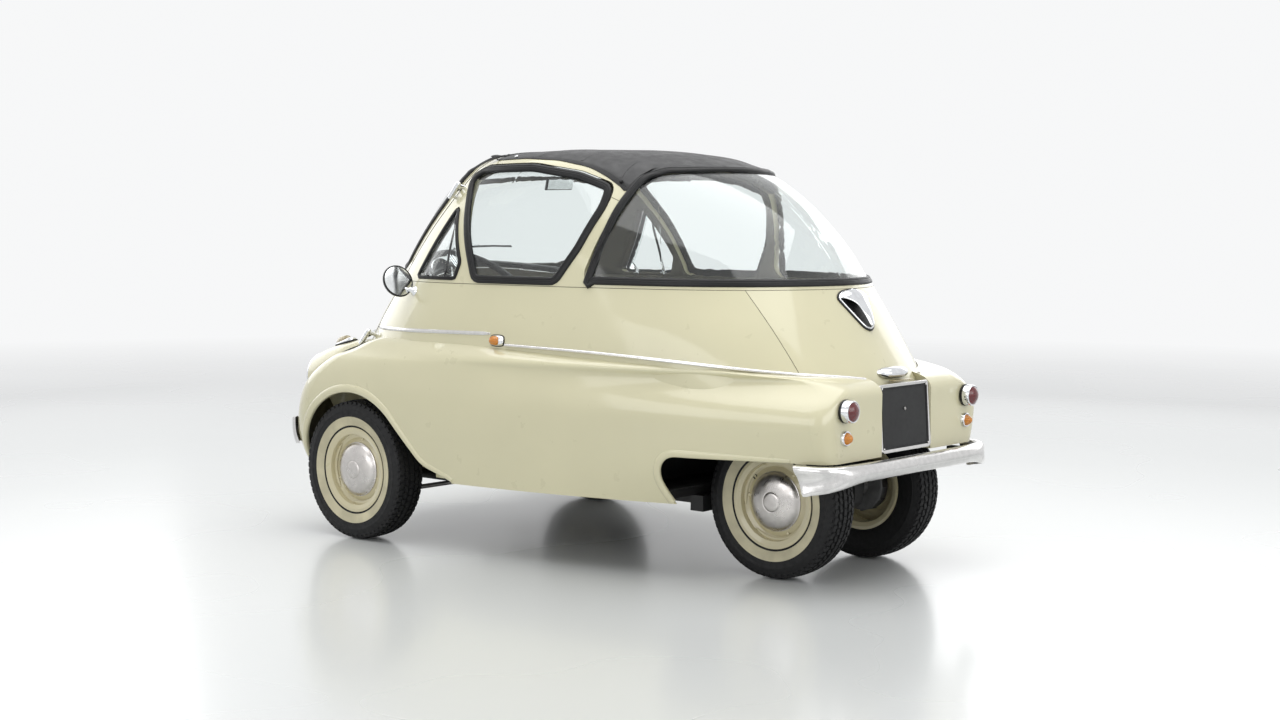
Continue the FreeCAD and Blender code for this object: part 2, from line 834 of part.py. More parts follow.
PLATE_LOW = 400.0
PLATE_HALF = size("plate_width") / 2
PLATE_THICKNESS = size("plate_thickness")
PLATE_HIGH = PLATE_LOW + size("plate_height")
PLATE_TILT = 13
plate_back = along(1044) - PLATE_THICKNESS
plate_face = [
    (plate_back, PLATE_LOW),
    (plate_back + PLATE_THICKNESS, PLATE_LOW),
    (plate_back + PLATE_THICKNESS - PLATE_TILT, PLATE_HIGH),
    (plate_back - PLATE_TILT, PLATE_HIGH),
]
carrier = [
    (along(960), PLATE_LOW + 50),
    (plate_back - PLATE_TILT * 0.25, PLATE_LOW + 50),
    (plate_back - PLATE_TILT * 0.75, PLATE_HIGH - 50),
    (along(960), PLATE_HIGH - 50),
]
node(
    "number_plate",
    side_prism(plate_face, -PLATE_HALF, PLATE_HALF).fuse(side_prism(carrier, -60, 60).cut(OUTER)),
)
node("plate_lamp", rod(at(-75, 1003, 632), at(75, 1003, 632), 22).cut(OUTER))
SCOOP = [(-30, 760, 25), (30, 760, 25), (82, 850, 40), (60, 888, 30), (-60, 888, 30), (-82, 850, 40)]
SCOOP_STAND = 16
node("air_scoop", egg(-SCOOP_STAND).cut(SKIN).common(front_prism(SCOOP, along(600), FAR)))

# ---------------------------------------------------------------- bumpers and mirrors
BUMPER_TOP = TAIL_EDGE
BUMPER = size("bumper_height")
BAR = size("bumper_bar_radius")
BLADE_ROUND = 32
BLADE = [
    # x, y, corner radius: the rear bumper's left end piece, seen from above
    (486, 940),
    (478, 1050, 70),
    (330, 1112, 120),
    (235, 1116),
    (235, 1104),
    (326, 1100, 108),
    (466, 1044, 58),
    (474, 940),
]
blade_plan = [(across(p[0]), along(p[1]), *p[2:]) for p in BLADE]
blade = plan_prism(blade_plan, BUMPER_TOP - BUMPER, BUMPER_TOP)
blade = blade.common(
    front_prism(
        [
            (across(236), BUMPER_TOP - 2 * BAR),
            (across(430), BUMPER_TOP - BUMPER, 120),
            (across(500), BUMPER_TOP - BUMPER),
            (across(500), BUMPER_TOP),
            (across(236), BUMPER_TOP),
        ]
    )
)
blade_end = [
    (along(940), BUMPER_TOP - BUMPER, BLADE_ROUND),
    (FAR, BUMPER_TOP - BUMPER),
    (FAR, BUMPER_TOP),
    (along(940), BUMPER_TOP, BLADE_ROUND),
]
blade = blade.common(side_prism(blade_end))
bar_y = along(1116) - BAR
bar_z = BUMPER_TOP - BAR
bar_half = across(262)
post = box_between((across(290), along(1036), bar_z - 14), (across(320), along(1106), BUMPER_TOP))
tube = rod(Vector(-bar_half, bar_y, bar_z), Vector(bar_half, bar_y, bar_z), BAR)
node("rear_bumper", tube.fuse([blade, mirrored(blade), post, mirrored(post)]))

BLADE_OUT = 20
BLADE_BACK = 10
guard_box = box_between((across(330), -FAR, 304), (across(636), along(-985), 304 + BUMPER))
guard = wing(-BLADE_OUT).cut(wing(-BLADE_BACK)).common(guard_box)
stay = wing(-BLADE_BACK - 2).cut(OUTER).common(
    box_between((across(470), -FAR, 336), (across(505), along(-1085), 362))
)
node("front_bumpers", both_sides(guard.fuse(stay)))

MIRROR = size("mirror_radius")
mirror_back = at(606, -584, 884)
mirror = rod(mirror_back, mirror_back + Vector(0, 16, 0), MIRROR)
stalk = rod(at(500, -576, 858), at(606, -576, 880), 6).cut(OUTER)
node("mirrors", both_sides(mirror.fuse(stalk)))

# ---------------------------------------------------------------- chassis
TUBE = dim("frame_tube")
FRAME_X = 150
FRAME_TOP = dim("floor_height")
FRAME_LOW = FRAME_TOP - TUBE
FRAME_FRONT = -900
FRAME_REAR = 500
CROSS_Y = -470
FRONT_AXLE = along(-750)
REAR_AXLE = along(750)
AXLE_Z = size("tyre_radius")
frame_parts = []
for side, x in (("right", -FRAME_X), ("left", FRAME_X)):
    low = (across_dim(x) - TUBE / 2, along_dim(FRAME_FRONT), FRAME_LOW)
    high = (across_dim(x) + TUBE / 2, along_dim(FRAME_REAR), FRAME_TOP)
    frame_parts.append(block(f"frame_rail_{side}", low, high))
for end, y in (("front", FRAME_FRONT + 60), ("rear", FRAME_REAR - 60)):
    low = (across_dim(-300), along_dim(y), FRAME_LOW)
    high = (across_dim(300), along_dim(y) + TUBE, FRAME_TOP)
    frame_parts.append(block(f"cross_member_{end}", low, high))
arm_x = across(385)
arm_z = plain(FRAME_TOP - TUBE / 2)
cross_start = (across_dim(-385), along_dim(CROSS_Y), FRAME_TOP - TUBE / 2)
cross_tube = bar("cross_tube", cross_start, across_dim(770), 20)
joined("chassis_frame", frame_parts + [cross_tube])
DOC.recompute()

KINGPIN = size("kingpin_radius")
CLEARANCE = size("kingpin_clearance")
PIN_X = size("front_track") / 2 - size("kingpin_offset")
BOSS_LOW = AXLE_Z - 38.5
BOSS_HIGH = AXLE_Z + 38.5
ARM = 17
boss = Part.makeCylinder(20, BOSS_HIGH - BOSS_LOW, Vector(PIN_X, FRONT_AXLE, BOSS_LOW))
kingpin_bore = Part.makeCylinder(KINGPIN + CLEARANCE, FAR, Vector(PIN_X, FRONT_AXLE, 0))
elbow = Vector(arm_x, FRONT_AXLE, arm_z)
arm = rod(Vector(arm_x, along(CROSS_Y), arm_z), elbow, ARM).fuse(
    [Part.makeSphere(ARM, elbow), rod(elbow, Vector(PIN_X, FRONT_AXLE, AXLE_Z - 4), ARM), boss]
)
arm = arm.cut([kingpin_bore, cross_tube.Shape])
node("front_axle", both_sides(arm))

AXLE = size("axle_radius")
HOUSING_HALF = 170
housing = rod(Vector(-HOUSING_HALF, REAR_AXLE, AXLE_Z), Vector(HOUSING_HALF, REAR_AXLE, AXLE_Z), 34)
spring = box_between(
    (across(FRAME_X) - 18, along(FRAME_REAR), FLOOR - 38),
    (across(FRAME_X) + 18, REAR_AXLE, FLOOR - 14),
)
CHAIN_CASE = [(-284, -45, 35), (60, -62, 50), (60, 62, 50), (-284, 45, 35)]
chain_case = side_prism([(REAR_AXLE + p[0] + 36, AXLE_Z + p[1], p[2]) for p in CHAIN_CASE], -70, -20)
shaft_bore = rod(Vector(-400, REAR_AXLE, AXLE_Z), Vector(400, REAR_AXLE, AXLE_Z), AXLE + CLEARANCE)
node("rear_suspension", housing.fuse([spring, mirrored(spring), chain_case]).cut(shaft_bore))

BAY_FRONT = dim("bulkhead_station") * dim("wheel_base") / DRAWN_WHEEL_BASE
BAY_FLOOR = dim("floor_height") + dim("floor_thickness")
engine_low = (across_dim(-420), BAY_FRONT, BAY_FLOOR)
engine_high = (across_dim(-100), BAY_FRONT + 180, BAY_FLOOR + 300)
keep(block("engine", engine_low, engine_high), "engine")

# ---------------------------------------------------------------- seat
SEAT = dim("seat_width") / 2
SEAT_TOP = dim("seat_height")
SEAT_LOW = SEAT_TOP - dim("seat_thickness")
SEAT_FRONT = along_dim(-230)
SEAT_BACK = SEAT_FRONT + dim("seat_depth")
box_low = (-SEAT + 40, SEAT_FRONT + 40, BAY_FLOOR)
keep(block("seat_base", box_low, (SEAT - 40, SEAT_BACK, SEAT_LOW)), "seat_base")
cushion = [
    # y, z, radius of the side that ends there
    (SEAT_FRONT, SEAT_LOW + 20, -20),
    (SEAT_FRONT, SEAT_TOP - 45),
    (SEAT_FRONT + 45, SEAT_TOP, -45),
    (SEAT_BACK, SEAT_TOP),
    (SEAT_BACK, SEAT_LOW),
    (SEAT_FRONT + 20, SEAT_LOW),
]
padded("seat_cushion", "YZ_Plane", cushion, dim("seat_width"))
BACK_TOP = SEAT_TOP + dim("backrest_height")
BACK = dim("backrest_thickness")
BACK_FACE = BAY_FRONT - dim("bulkhead_thickness")
backrest = [
    (BACK_FACE - BACK - 26, SEAT_TOP),
    (BACK_FACE + 16 - BACK, BACK_TOP - 40),
    (BACK_FACE + 56 - BACK, BACK_TOP, -40),
    (BACK_FACE - 14, BACK_TOP),
    (BACK_FACE + 16, BACK_TOP - 30, -30),
    (BACK_FACE, dim("shelf_height") + 30),
    (BACK_FACE, SEAT_TOP),
]
padded("seat_backrest", "YZ_Plane", backrest, dim("seat_width"))

# ---------------------------------------------------------------- door hinges
HINGE_LOW = at(522, -841, 672)
HINGE_HIGH = at(464, -447, 1190)
HINGE_AXIS = (HINGE_HIGH - HINGE_LOW).normalize()
BEHIND = Vector(0, 1, -DOOR_SLOPE).normalize()
INBOARD = Vector(-1, 0, 0)
SLEEVE = 12
LUG = 30
LUG_GAP = 1
HINGE_PIN = 5
HINGE_EYE = 9
HINGE_ARM = 7
HINGES = [HINGE_LOW + HINGE_AXIS * 14, HINGE_HIGH]


def fixed_hinge(centre):
    """The body's half of a hinge: a pin held by a lug at each end."""
    parts = [rod(centre - HINGE_AXIS * LUG, centre + HINGE_AXIS * LUG, HINGE_PIN)]
    for side in (-1, 1):
        near = centre + HINGE_AXIS * side * (SLEEVE + LUG_GAP)
        far = centre + HINGE_AXIS * side * LUG
        middle = (near + far) / 2
        parts.append(rod(near, far, HINGE_EYE))
        parts.append(rod(middle, middle + BEHIND * 26 + INBOARD * 50, HINGE_ARM))
    return parts[0].fuse(parts[1:]).cut([OUTER, nacelle])


def door_hinge(centre):
    """The door's half of a hinge: a sleeve round the pin, with its arm."""
    sleeve = rod(centre - HINGE_AXIS * SLEEVE, centre + HINGE_AXIS * SLEEVE, HINGE_EYE)
    reach = rod(centre, centre - BEHIND * 26 + INBOARD * 70, HINGE_ARM)
    bore = rod(centre - HINGE_AXIS * LUG, centre + HINGE_AXIS * LUG, HINGE_PIN + CLEARANCE)
    return sleeve.fuse(reach).cut([bore, OUTER])


node("hinge_brackets", Part.makeCompound([fixed_hinge(c) for c in HINGES]))
node("door_hinges", Part.makeCompound([door_hinge(c) for c in HINGES]))

# ---------------------------------------------------------------- steering
WHEEL_CENTRE = at(230, -560, 860)
COLUMN_TILT = 36
DOWN = Vector(0, -math.sin(math.radians(COLUMN_TILT)), -math.cos(math.radians(COLUMN_TILT)))
COLUMN = size("column_radius")
SHAFT = 8
COLUMN_END = 560
HUB_HALF = 14
tube = rod(WHEEL_CENTRE + DOWN * (HUB_HALF + 2), WHEEL_CENTRE + DOWN * COLUMN_END, COLUMN)
bracket = DOOR_LINING.common(
    box_between(
        (WHEEL_CENTRE.x - 18, -FAR, WHEEL_CENTRE.z - 170),
        (WHEEL_CENTRE.x + 18, WHEEL_CENTRE.y - 112, WHEEL_CENTRE.z - 140),
    )
)
column_bore = rod(WHEEL_CENTRE, WHEEL_CENTRE + DOWN * 90, SHAFT + CLEARANCE)
node("steering_column", tube.fuse(bracket).cut(column_bore))

RIM_RING = dim("wheel_rim_radius")
STEERING = (across_dim(230), along_dim(-560), WHEEL_CENTRE.z)
hub_top = tuple(plain(c) - d * HUB_HALF for c, d in zip(STEERING, DOWN))
GRIP = dim("wheel_grip_radius")
wheel_parts = [
    primitive("Part::Torus", "grip", STEERING, DOWN, Radius1=RIM_RING, Radius2=GRIP),
    bar("wheel_hub", hub_top, 2 * HUB_HALF, 32, DOWN),
    bar("wheel_shaft", STEERING, 80, SHAFT, DOWN),
]
AHEAD = Vector(0, -1, 0).cross(DOWN).cross(DOWN).normalize()
for turn in (90, 210, 330):
    spoke = Rotation(DOWN, turn).multVec(AHEAD)
    wheel_parts.append(bar(f"spoke_{turn}", STEERING, RIM_RING, 6, spoke))
joined("steering_wheel", wheel_parts)

PLATE = 12
KNUCKLE_GAP = 2
STUB_END = 12
HUB_BACK = 35
AXLE_LINE = dim("tyre_radius")
AXLE_AT = dim("wheel_base") / -2
ROD_Y = AXLE_AT + 110
ROD_Z = AXLE_LINE - 70.5
ROD = 8
KINGPIN_X = dim("front_track") / 2 - dim("kingpin_offset")
top_plate = AXLE_LINE + 38.5 + KNUCKLE_GAP
low_plate = AXLE_LINE - 38.5 - KNUCKLE_GAP
track_half = dim("front_track") / 2


def knuckle(label, sign):
    """A stub axle on its kingpin, with the steering arm; sign is 1 on the left-hand side."""

    def slab(name, near, far, front, back, low, high):
        ends = (near, far) if sign > 0 else (-far, -near)
        return block(f"{label}_{name}", (ends[0], front, low), (ends[1], back, high))

    def stub(name, near, far, radius):
        start = near if sign > 0 else -far
        return bar(f"{label}_{name}", (start, AXLE_AT, AXLE_LINE), far - near, radius)

    def post(name, x, y, low, high, radius):
        return bar(f"{label}_{name}", (x * sign, y, low), high - low, radius, Vector(0, 0, 1))

    front = AXLE_AT - 20
    back = AXLE_AT + 20
    inner = KINGPIN_X - 17
    outer = KINGPIN_X + 34
    web = KINGPIN_X + 22
    seat = KINGPIN_X + 30
    arm_in = KINGPIN_X - 25
    arm_out = KINGPIN_X - 5
    stud = KINGPIN_X - 15
    under = low_plate - PLATE
    return joined(
        label,
        [
            post("kingpin", KINGPIN_X, AXLE_AT, under, top_plate + PLATE, dim("kingpin_radius")),
            slab("top", inner, outer, front, back, top_plate, top_plate + PLATE),
            slab("bottom", inner, outer, front, back, under, low_plate),
            slab("web", web, outer, front, back, under, top_plate + PLATE),
            slab("arm", arm_in, arm_out, AXLE_AT, ROD_Y + 12, under, low_plate),
            stub("collar", seat, track_half - HUB_BACK - 1, 24),
            stub("spindle", seat, track_half + STUB_END, dim("axle_radius")),
            post("stud", stud, ROD_Y, ROD_Z + ROD + 1.5, low_plate - 2, 6),
        ],
    )


knuckle("knuckle_left", 1)
knuckle("knuckle_right", -1)
rod_start = (-KINGPIN_X + 5, ROD_Y, ROD_Z)
keep(bar("track_rod", rod_start, KINGPIN_X * 2 - 10, ROD), "track_rod")

# ---------------------------------------------------------------- wheels
RIM = dim("rim_radius")
SEAT_R = RIM - 17
RIM_HALF = dim("rim_width") / 2
TYRE = dim("tyre_radius")
TYRE_HALF = dim("tyre_width") / 2


def tyre(label, x, y):
    """A tyre with rounded shoulders, standing at (x, y)."""
    half = [
        (TYRE_HALF - 20, TYRE),
        (TYRE_HALF - 4, TYRE - 12, -20),
        (TYRE_HALF, TYRE - 45, -90),
        (TYRE_HALF - 9, RIM + 5, -70),
        (RIM_HALF - 3, RIM + 1.5),
        (RIM_HALF - 3, SEAT_R),
    ]
    left = [(-half[-1][0], half[-1][1])]
    for index in range(len(half) - 2, -1, -1):
        bend = (half[index + 1][2],) if len(half[index + 1]) > 2 else ()
        left.append((-half[index][0], half[index][1], *bend))
    return keep(moved(lathe(label, half + left), x, y, TYRE), label)


def wheel(label, x, y, bore, outward):
    """A pressed disc wheel, its outer face towards +X when outward is 1."""
    flange = RIM_HALF + 3
    points = [
        (RIM_HALF - 3, SEAT_R),
        (RIM_HALF - 3, RIM),
        (flange, RIM),
        (flange, RIM - 9),
        (RIM_HALF - 2, SEAT_R - 6),
        (26, SEAT_R - 7),
        (20, SEAT_R - 20),
        (27, SEAT_R - 34),
        (27, SEAT_R - 42),
        (14, SEAT_R - 54),
        (14, bore),
        (-HUB_BACK, bore),
        (-HUB_BACK, dim("hub_radius")),
        (6, dim("hub_radius")),
        (6, SEAT_R - 48),
        (19, SEAT_R - 36),
        (13, SEAT_R - 22),
        (19, SEAT_R - 6),
        (-RIM_HALF + 2, SEAT_R - 6),
        (-flange, RIM - 9),
        (-flange, RIM),
        (-RIM_HALF + 3, RIM),
        (-RIM_HALF + 3, SEAT_R),
    ]
    return standing(label, points, x, y, outward)


def standing(label, points, x, y, outward):
    """A turned piece on a wheel's axle line, mirrored for the right-hand side."""
    if outward < 0:
        points = [(-p[0], p[1], *flip(p)) for p in points]
    return keep(moved(lathe(label, points), x, y, TYRE), label)


CAP = dim("hubcap_radius")
CAP_OUTLINE = [
    # a domed cap with a flat round boss
    (27, 0.0),
    (27, CAP),
    (33, CAP - 1, 7),
    (45, CAP - 20, 60),
    (51, CAP - 54, 90),
    (54, CAP - 60),
    (55, 0.0),
]
HALF_TRACK = dim("front_track") / 2
BASE = dim("wheel_base") / 2
for side, sign in (("left", 1), ("right", -1)):
    place = HALF_TRACK * sign
    tyre(f"front_tyre_{side}", place, -BASE)
    wheel(f"front_wheel_{side}", place, -BASE, dim("axle_radius") + dim("kingpin_clearance"), sign)
    standing(f"front_hubcap_{side}", CAP_OUTLINE, place, -BASE, sign)
    place = dim("rear_track") / 2 * sign
    tyre(f"rear_tyre_{side}", place, BASE)
    wheel(f"rear_wheel_{side}", place, BASE, dim("axle_radius"), sign)
    standing(f"rear_hubcap_{side}", CAP_OUTLINE, place, BASE, sign)

SHOULDER_IN = HOUSING_HALF + 3
SHOULDER_OUT = dim("rear_track") / 2 - HUB_BACK
AXLE_END = dim("rear_track") / 2 + STUB_END
half_axle = [
    (AXLE_END, 0.0),
    (AXLE_END, dim("axle_radius")),
    (SHOULDER_OUT, dim("axle_radius")),
    (SHOULDER_OUT, 30.0),
    (SHOULDER_IN, 30.0),
    (SHOULDER_IN, dim("axle_radius")),
]
axle_points = half_axle + [(-p[0], p[1]) for p in reversed(half_axle)]
keep(moved(lathe("rear_axle", axle_points), 0.0, BASE, TYRE), "rear_axle")

# ---------------------------------------------------------------- check and export
DOC.recompute()
os.makedirs("parts", exist_ok=True)
for feature in DOC.Objects:
    bad = [word for word in feature.State if word in ("Invalid", "Error")]
    if bad:
        raise RuntimeError(f"{feature.Label}: {bad}")
for feature in NODES:
    shape = feature.Shape
    if shape.isNull() or not shape.isValid():
        raise RuntimeError(f"{feature.Label} has no valid shape")
    shape.exportStep(f"parts/{feature.Label}.step")
print(len(NODES), "sub-parts")
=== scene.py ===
"""The bubble car's looks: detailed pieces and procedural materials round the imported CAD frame, in metres."""

import json
import math

import bmesh
import bpy
from mathutils import Matrix, Vector
from mathutils.bvhtree import BVHTree


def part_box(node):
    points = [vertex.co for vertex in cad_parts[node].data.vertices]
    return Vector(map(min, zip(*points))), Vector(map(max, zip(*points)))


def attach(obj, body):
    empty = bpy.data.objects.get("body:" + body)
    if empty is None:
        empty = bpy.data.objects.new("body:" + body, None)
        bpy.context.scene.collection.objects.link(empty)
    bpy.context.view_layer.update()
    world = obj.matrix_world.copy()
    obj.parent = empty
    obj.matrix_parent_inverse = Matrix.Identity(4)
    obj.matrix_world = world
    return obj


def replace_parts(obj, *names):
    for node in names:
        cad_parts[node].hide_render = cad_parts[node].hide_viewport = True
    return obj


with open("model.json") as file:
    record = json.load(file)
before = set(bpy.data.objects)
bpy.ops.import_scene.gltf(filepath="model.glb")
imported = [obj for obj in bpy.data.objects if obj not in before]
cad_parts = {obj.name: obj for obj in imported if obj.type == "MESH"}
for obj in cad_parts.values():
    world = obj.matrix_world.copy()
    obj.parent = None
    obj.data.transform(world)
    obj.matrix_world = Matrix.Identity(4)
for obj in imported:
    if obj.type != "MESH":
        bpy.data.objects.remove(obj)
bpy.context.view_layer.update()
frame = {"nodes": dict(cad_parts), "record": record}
NODES = frame["nodes"]
UP = Vector((0, 0, 1))

# ---------------------------------------------------------------- camera
YAW = math.radians(-129.83)
PITCH = math.radians(-4.45)
ROLL = math.radians(0.26)
CAMERA_AT = (4.962, 4.118, 1.119)
FOCAL_LENGTH = 53.35
forward = Vector((math.sin(YAW) * math.cos(PITCH), math.cos(YAW) * math.cos(PITCH), math.sin(PITCH)))
level_right = forward.cross(UP).normalized()
level_up = level_right.cross(forward)
camera_right = level_right * math.cos(ROLL) + level_up * math.sin(ROLL)
camera_up = level_up * math.cos(ROLL) - level_right * math.sin(ROLL)
camera = bpy.data.objects.new("camera", bpy.data.cameras.new("camera"))
bpy.context.scene.collection.objects.link(camera)
camera.matrix_world = Matrix.Translation(CAMERA_AT) @ Matrix(
    (camera_right, camera_up, -forward)
).transposed().to_4x4()
camera.data.sensor_width = 36
camera.data.lens = FOCAL_LENGTH
camera.data.clip_end = 200
bpy.context.scene.camera = camera
bpy.context.scene.view_settings.view_transform = "Standard"


# ---------------------------------------------------------------- materials
class Tree:
    """A material's node tree, with short calls for the textures that it is built from."""

    def __init__(self, name):
        self.material = bpy.data.materials.new(name)
        self.material.use_nodes = True
        self.nodes = self.material.node_tree.nodes
        self.link = self.material.node_tree.links.new
        self.shader = self.nodes["Principled BSDF"]
        self.output = self.nodes["Material Output"]
        self.where = self.nodes.new("ShaderNodeTexCoord").outputs["Object"]

    def add(self, kind, **values):
        made = self.nodes.new("ShaderNode" + kind)
        for key, value in values.items():
            if hasattr(made, key):
                setattr(made, key, value)
            else:
                made.inputs[key.replace("_", " ")].default_value = value
        return made

    def stretched(self, scale):
        mapping = self.add("Mapping")
        mapping.inputs["Scale"].default_value = scale
        self.link(self.where, mapping.inputs["Vector"])
        return mapping.outputs["Vector"]

    def noise(self, scale, detail=2.0, stretch=None):
        made = self.add("TexNoise", Scale=scale, Detail=detail)
        self.link(self.stretched(stretch) if stretch else self.where, made.inputs["Vector"])
        return made.outputs["Fac"]

    def cells(self, scale):
        made = self.add("TexVoronoi", feature="F1", Scale=scale)
        self.link(self.where, made.inputs["Vector"])
        return made.outputs["Distance"]

    def waves(self, scale, direction, stretch=None, bend=0.0):
        made = self.add("TexWave", bands_direction=direction, Scale=scale, Distortion=bend)
        self.link(self.stretched(stretch) if stretch else self.where, made.inputs["Vector"])
        return made.outputs["Fac"]

    def ramp(self, value, low, high, start=0.0, end=1.0):
        """A factor spread from low to high between two values of the texture."""
        made = self.add("MapRange", From_Min=start, From_Max=end, To_Min=low, To_Max=high)
        self.link(value, made.inputs["Value"])
        return made.outputs["Result"]

    def math(self, operation, one, other):
        made = self.add("Math", operation=operation)
        for socket, value in zip(made.inputs, (one, other)):
            if isinstance(value, (int, float)):
                socket.default_value = value
            else:
                self.link(value, socket)
        return made.outputs[0]

    def mix(self, factor, one, other):
        made = self.add("Mix", data_type="RGBA")
        self.link(factor, made.inputs["Factor"])
        for socket, value in ((made.inputs[6], one), (made.inputs[7], other)):
            if isinstance(value, (tuple, list)):
                socket.default_value = (*value, 1)
            else:
                self.link(value, socket)
        return made.outputs[2]

    def colour(self, socket):
        self.link(socket, self.shader.inputs["Base Color"])

    def rough(self, socket):
        self.link(socket, self.shader.inputs["Roughness"])

    def bump(self, height, distance, strength=1.0):
        made = self.add("Bump", Strength=strength, Distance=distance)
        self.link(height, made.inputs["Height"])
        previous = self.shader.inputs["Normal"]
        if previous.is_linked:
            self.link(previous.links[0].from_socket, made.inputs["Normal"])
        self.link(made.outputs["Normal"], previous)
        if self.shader.inputs["Coat Weight"].default_value:
            self.link(made.outputs["Normal"], self.shader.inputs["Coat Normal"])


def plain(name, colour, **sockets):
    """A Principled material with fixed values on the shader's own sockets."""
    tree = Tree(name)
    tree.shader.inputs["Base Color"].default_value = (*colour, 1)
    for key, value in sockets.items():
        tree.shader.inputs[key.replace("_", " ")].default_value = value
    return tree


def shade(colour, factor):
    return tuple(min(1.0, c * factor) for c in colour)


def enamel(name, colour):
    """Glossy brushed-on enamel: slow colour drift and fine orange peel."""
    tree = plain(name, colour, Roughness=0.32, Coat_Weight=1.0, Coat_Roughness=0.04, IOR=1.45)
    drift = tree.noise(3.5, 3.0)
    tree.colour(tree.mix(tree.ramp(drift, 0, 1, 0.3, 0.7), shade(colour, 0.975), shade(colour, 1.015)))
    tree.rough(tree.ramp(tree.noise(18, 4.0), 0.27, 0.4, 0.3, 0.7))
    tree.bump(tree.noise(170, 2.0), 0.00022, 0.35)
    tree.bump(tree.noise(5.5, 1.0), 0.004, 0.06)
    return tree.material


def bright_metal(name, colour, roughness, brushed=None, bump=0.15):
    """Polished metal with hairlines, haze and a little pitting."""
    tree = plain(name, colour, Metallic=1.0, Roughness=roughness)
    haze = tree.noise(26, 4.0)
    tree.rough(tree.ramp(haze, roughness * 0.6, roughness * 1.7, 0.3, 0.75))
    tree.colour(tree.mix(tree.ramp(tree.noise(60, 3.0), 0, 1, 0.35, 0.7), shade(colour, 0.9), colour))
    hairs = tree.noise(240, 2.0, brushed or (1, 1, 6))
    tree.bump(hairs, 0.00006, bump)
    return tree.material


def rubber(name, colour, roughness=0.55, grain=900):
    """Black rubber with a bloom of grey and a fine moulded grain."""
    tree = plain(name, colour, Roughness=roughness, Specular_IOR_Level=0.32)
    bloom = tree.ramp(tree.noise(14, 4.0), 0, 1, 0.4, 0.75)
    tree.colour(tree.mix(bloom, colour, tuple(c * 1.35 + 0.002 for c in colour)))
    tree.rough(tree.ramp(tree.noise(70, 3.0), roughness * 0.85, roughness * 1.2, 0.3, 0.7))
    tree.bump(tree.noise(grain, 2.0), 0.0002, 0.4)
    return tree.material


def leather_cloth(name, colour, cell=420, roughness=0.5):
    """Grained vinyl: small rounded cells with creases, as on a folding roof or trim board."""
    tree = plain(name, colour, Roughness=roughness)
    cells = tree.cells(cell)
    tree.colour(tree.mix(tree.ramp(cells, 0, 1, 0.2, 0.8), shade(colour, 1.12), shade(colour, 0.8)))
    tree.rough(tree.ramp(tree.noise(30, 3.0), roughness * 0.8, roughness * 1.2, 0.3, 0.7))
    tree.bump(cells, 0.0004, 0.25)
    tree.bump(tree.noise(9, 2.0), 0.003, 0.03)
    return tree.material


def woven(name, colour, other, threads=260, roughness=0.85):
    """Cloth woven of two yarns, with slubs and a soft sheen."""
    tree = plain(name, colour, Roughness=roughness, Sheen_Weight=0.3, Sheen_Roughness=0.4)
    warp = tree.waves(threads, "X", bend=0.6)
    weft = tree.waves(threads, "Y", stretch=(1, 0.8, 0.9), bend=0.6)
    cross = tree.math("MULTIPLY", warp, weft)
    slub = tree.noise(threads * 0.6, 2.0, (1, 0.1, 0.1))
    tree.colour(tree.mix(tree.ramp(tree.math("ADD", cross, slub), 0, 1, 0.3, 1.2), other, colour))
    tree.bump(cross, 0.0005, 0.5)
    return tree.material


def glass(name, tint, roughness=0.0, seed_scale=7.0):
    """Clear sheet glass that lamps shine through, with the slow waviness of old panes."""
    tree = plain(name, tint, Roughness=roughness, Transmission_Weight=1.0, IOR=1.45)
    tree.bump(tree.noise(seed_scale, 1.0), 0.0012, 0.05)
    open_ = tree.add("BsdfTransparent")
    open_.inputs["Color"].default_value = (*tint, 1)
    path = tree.add("LightPath")
    mixed = tree.add("MixShader")
    tree.link(path.outputs["Is Shadow Ray"], mixed.inputs[0])
    tree.link(tree.shader.outputs[0], mixed.inputs[1])
    tree.link(open_.outputs[0], mixed.inputs[2])
    tree.link(mixed.outputs[0], tree.output.inputs["Surface"])
    return tree.material


def lens(name, colour, roughness=0.12, ribs=420, transmission=0.35):
    """Moulded lamp plastic with fine prisms inside."""
    tree = plain(
        name, colour, Roughness=roughness, Transmission_Weight=transmission, IOR=1.49, Coat_Weight=0.6,
        Coat_Roughness=0.03,
    )
    facets = tree.cells(ribs)
    tree.colour(tree.mix(tree.ramp(facets, 0, 1, 0.1, 0.8), shade(colour, 1.35), shade(colour, 0.65)))
    tree.bump(facets, 0.0008, 0.25)
    return tree.material


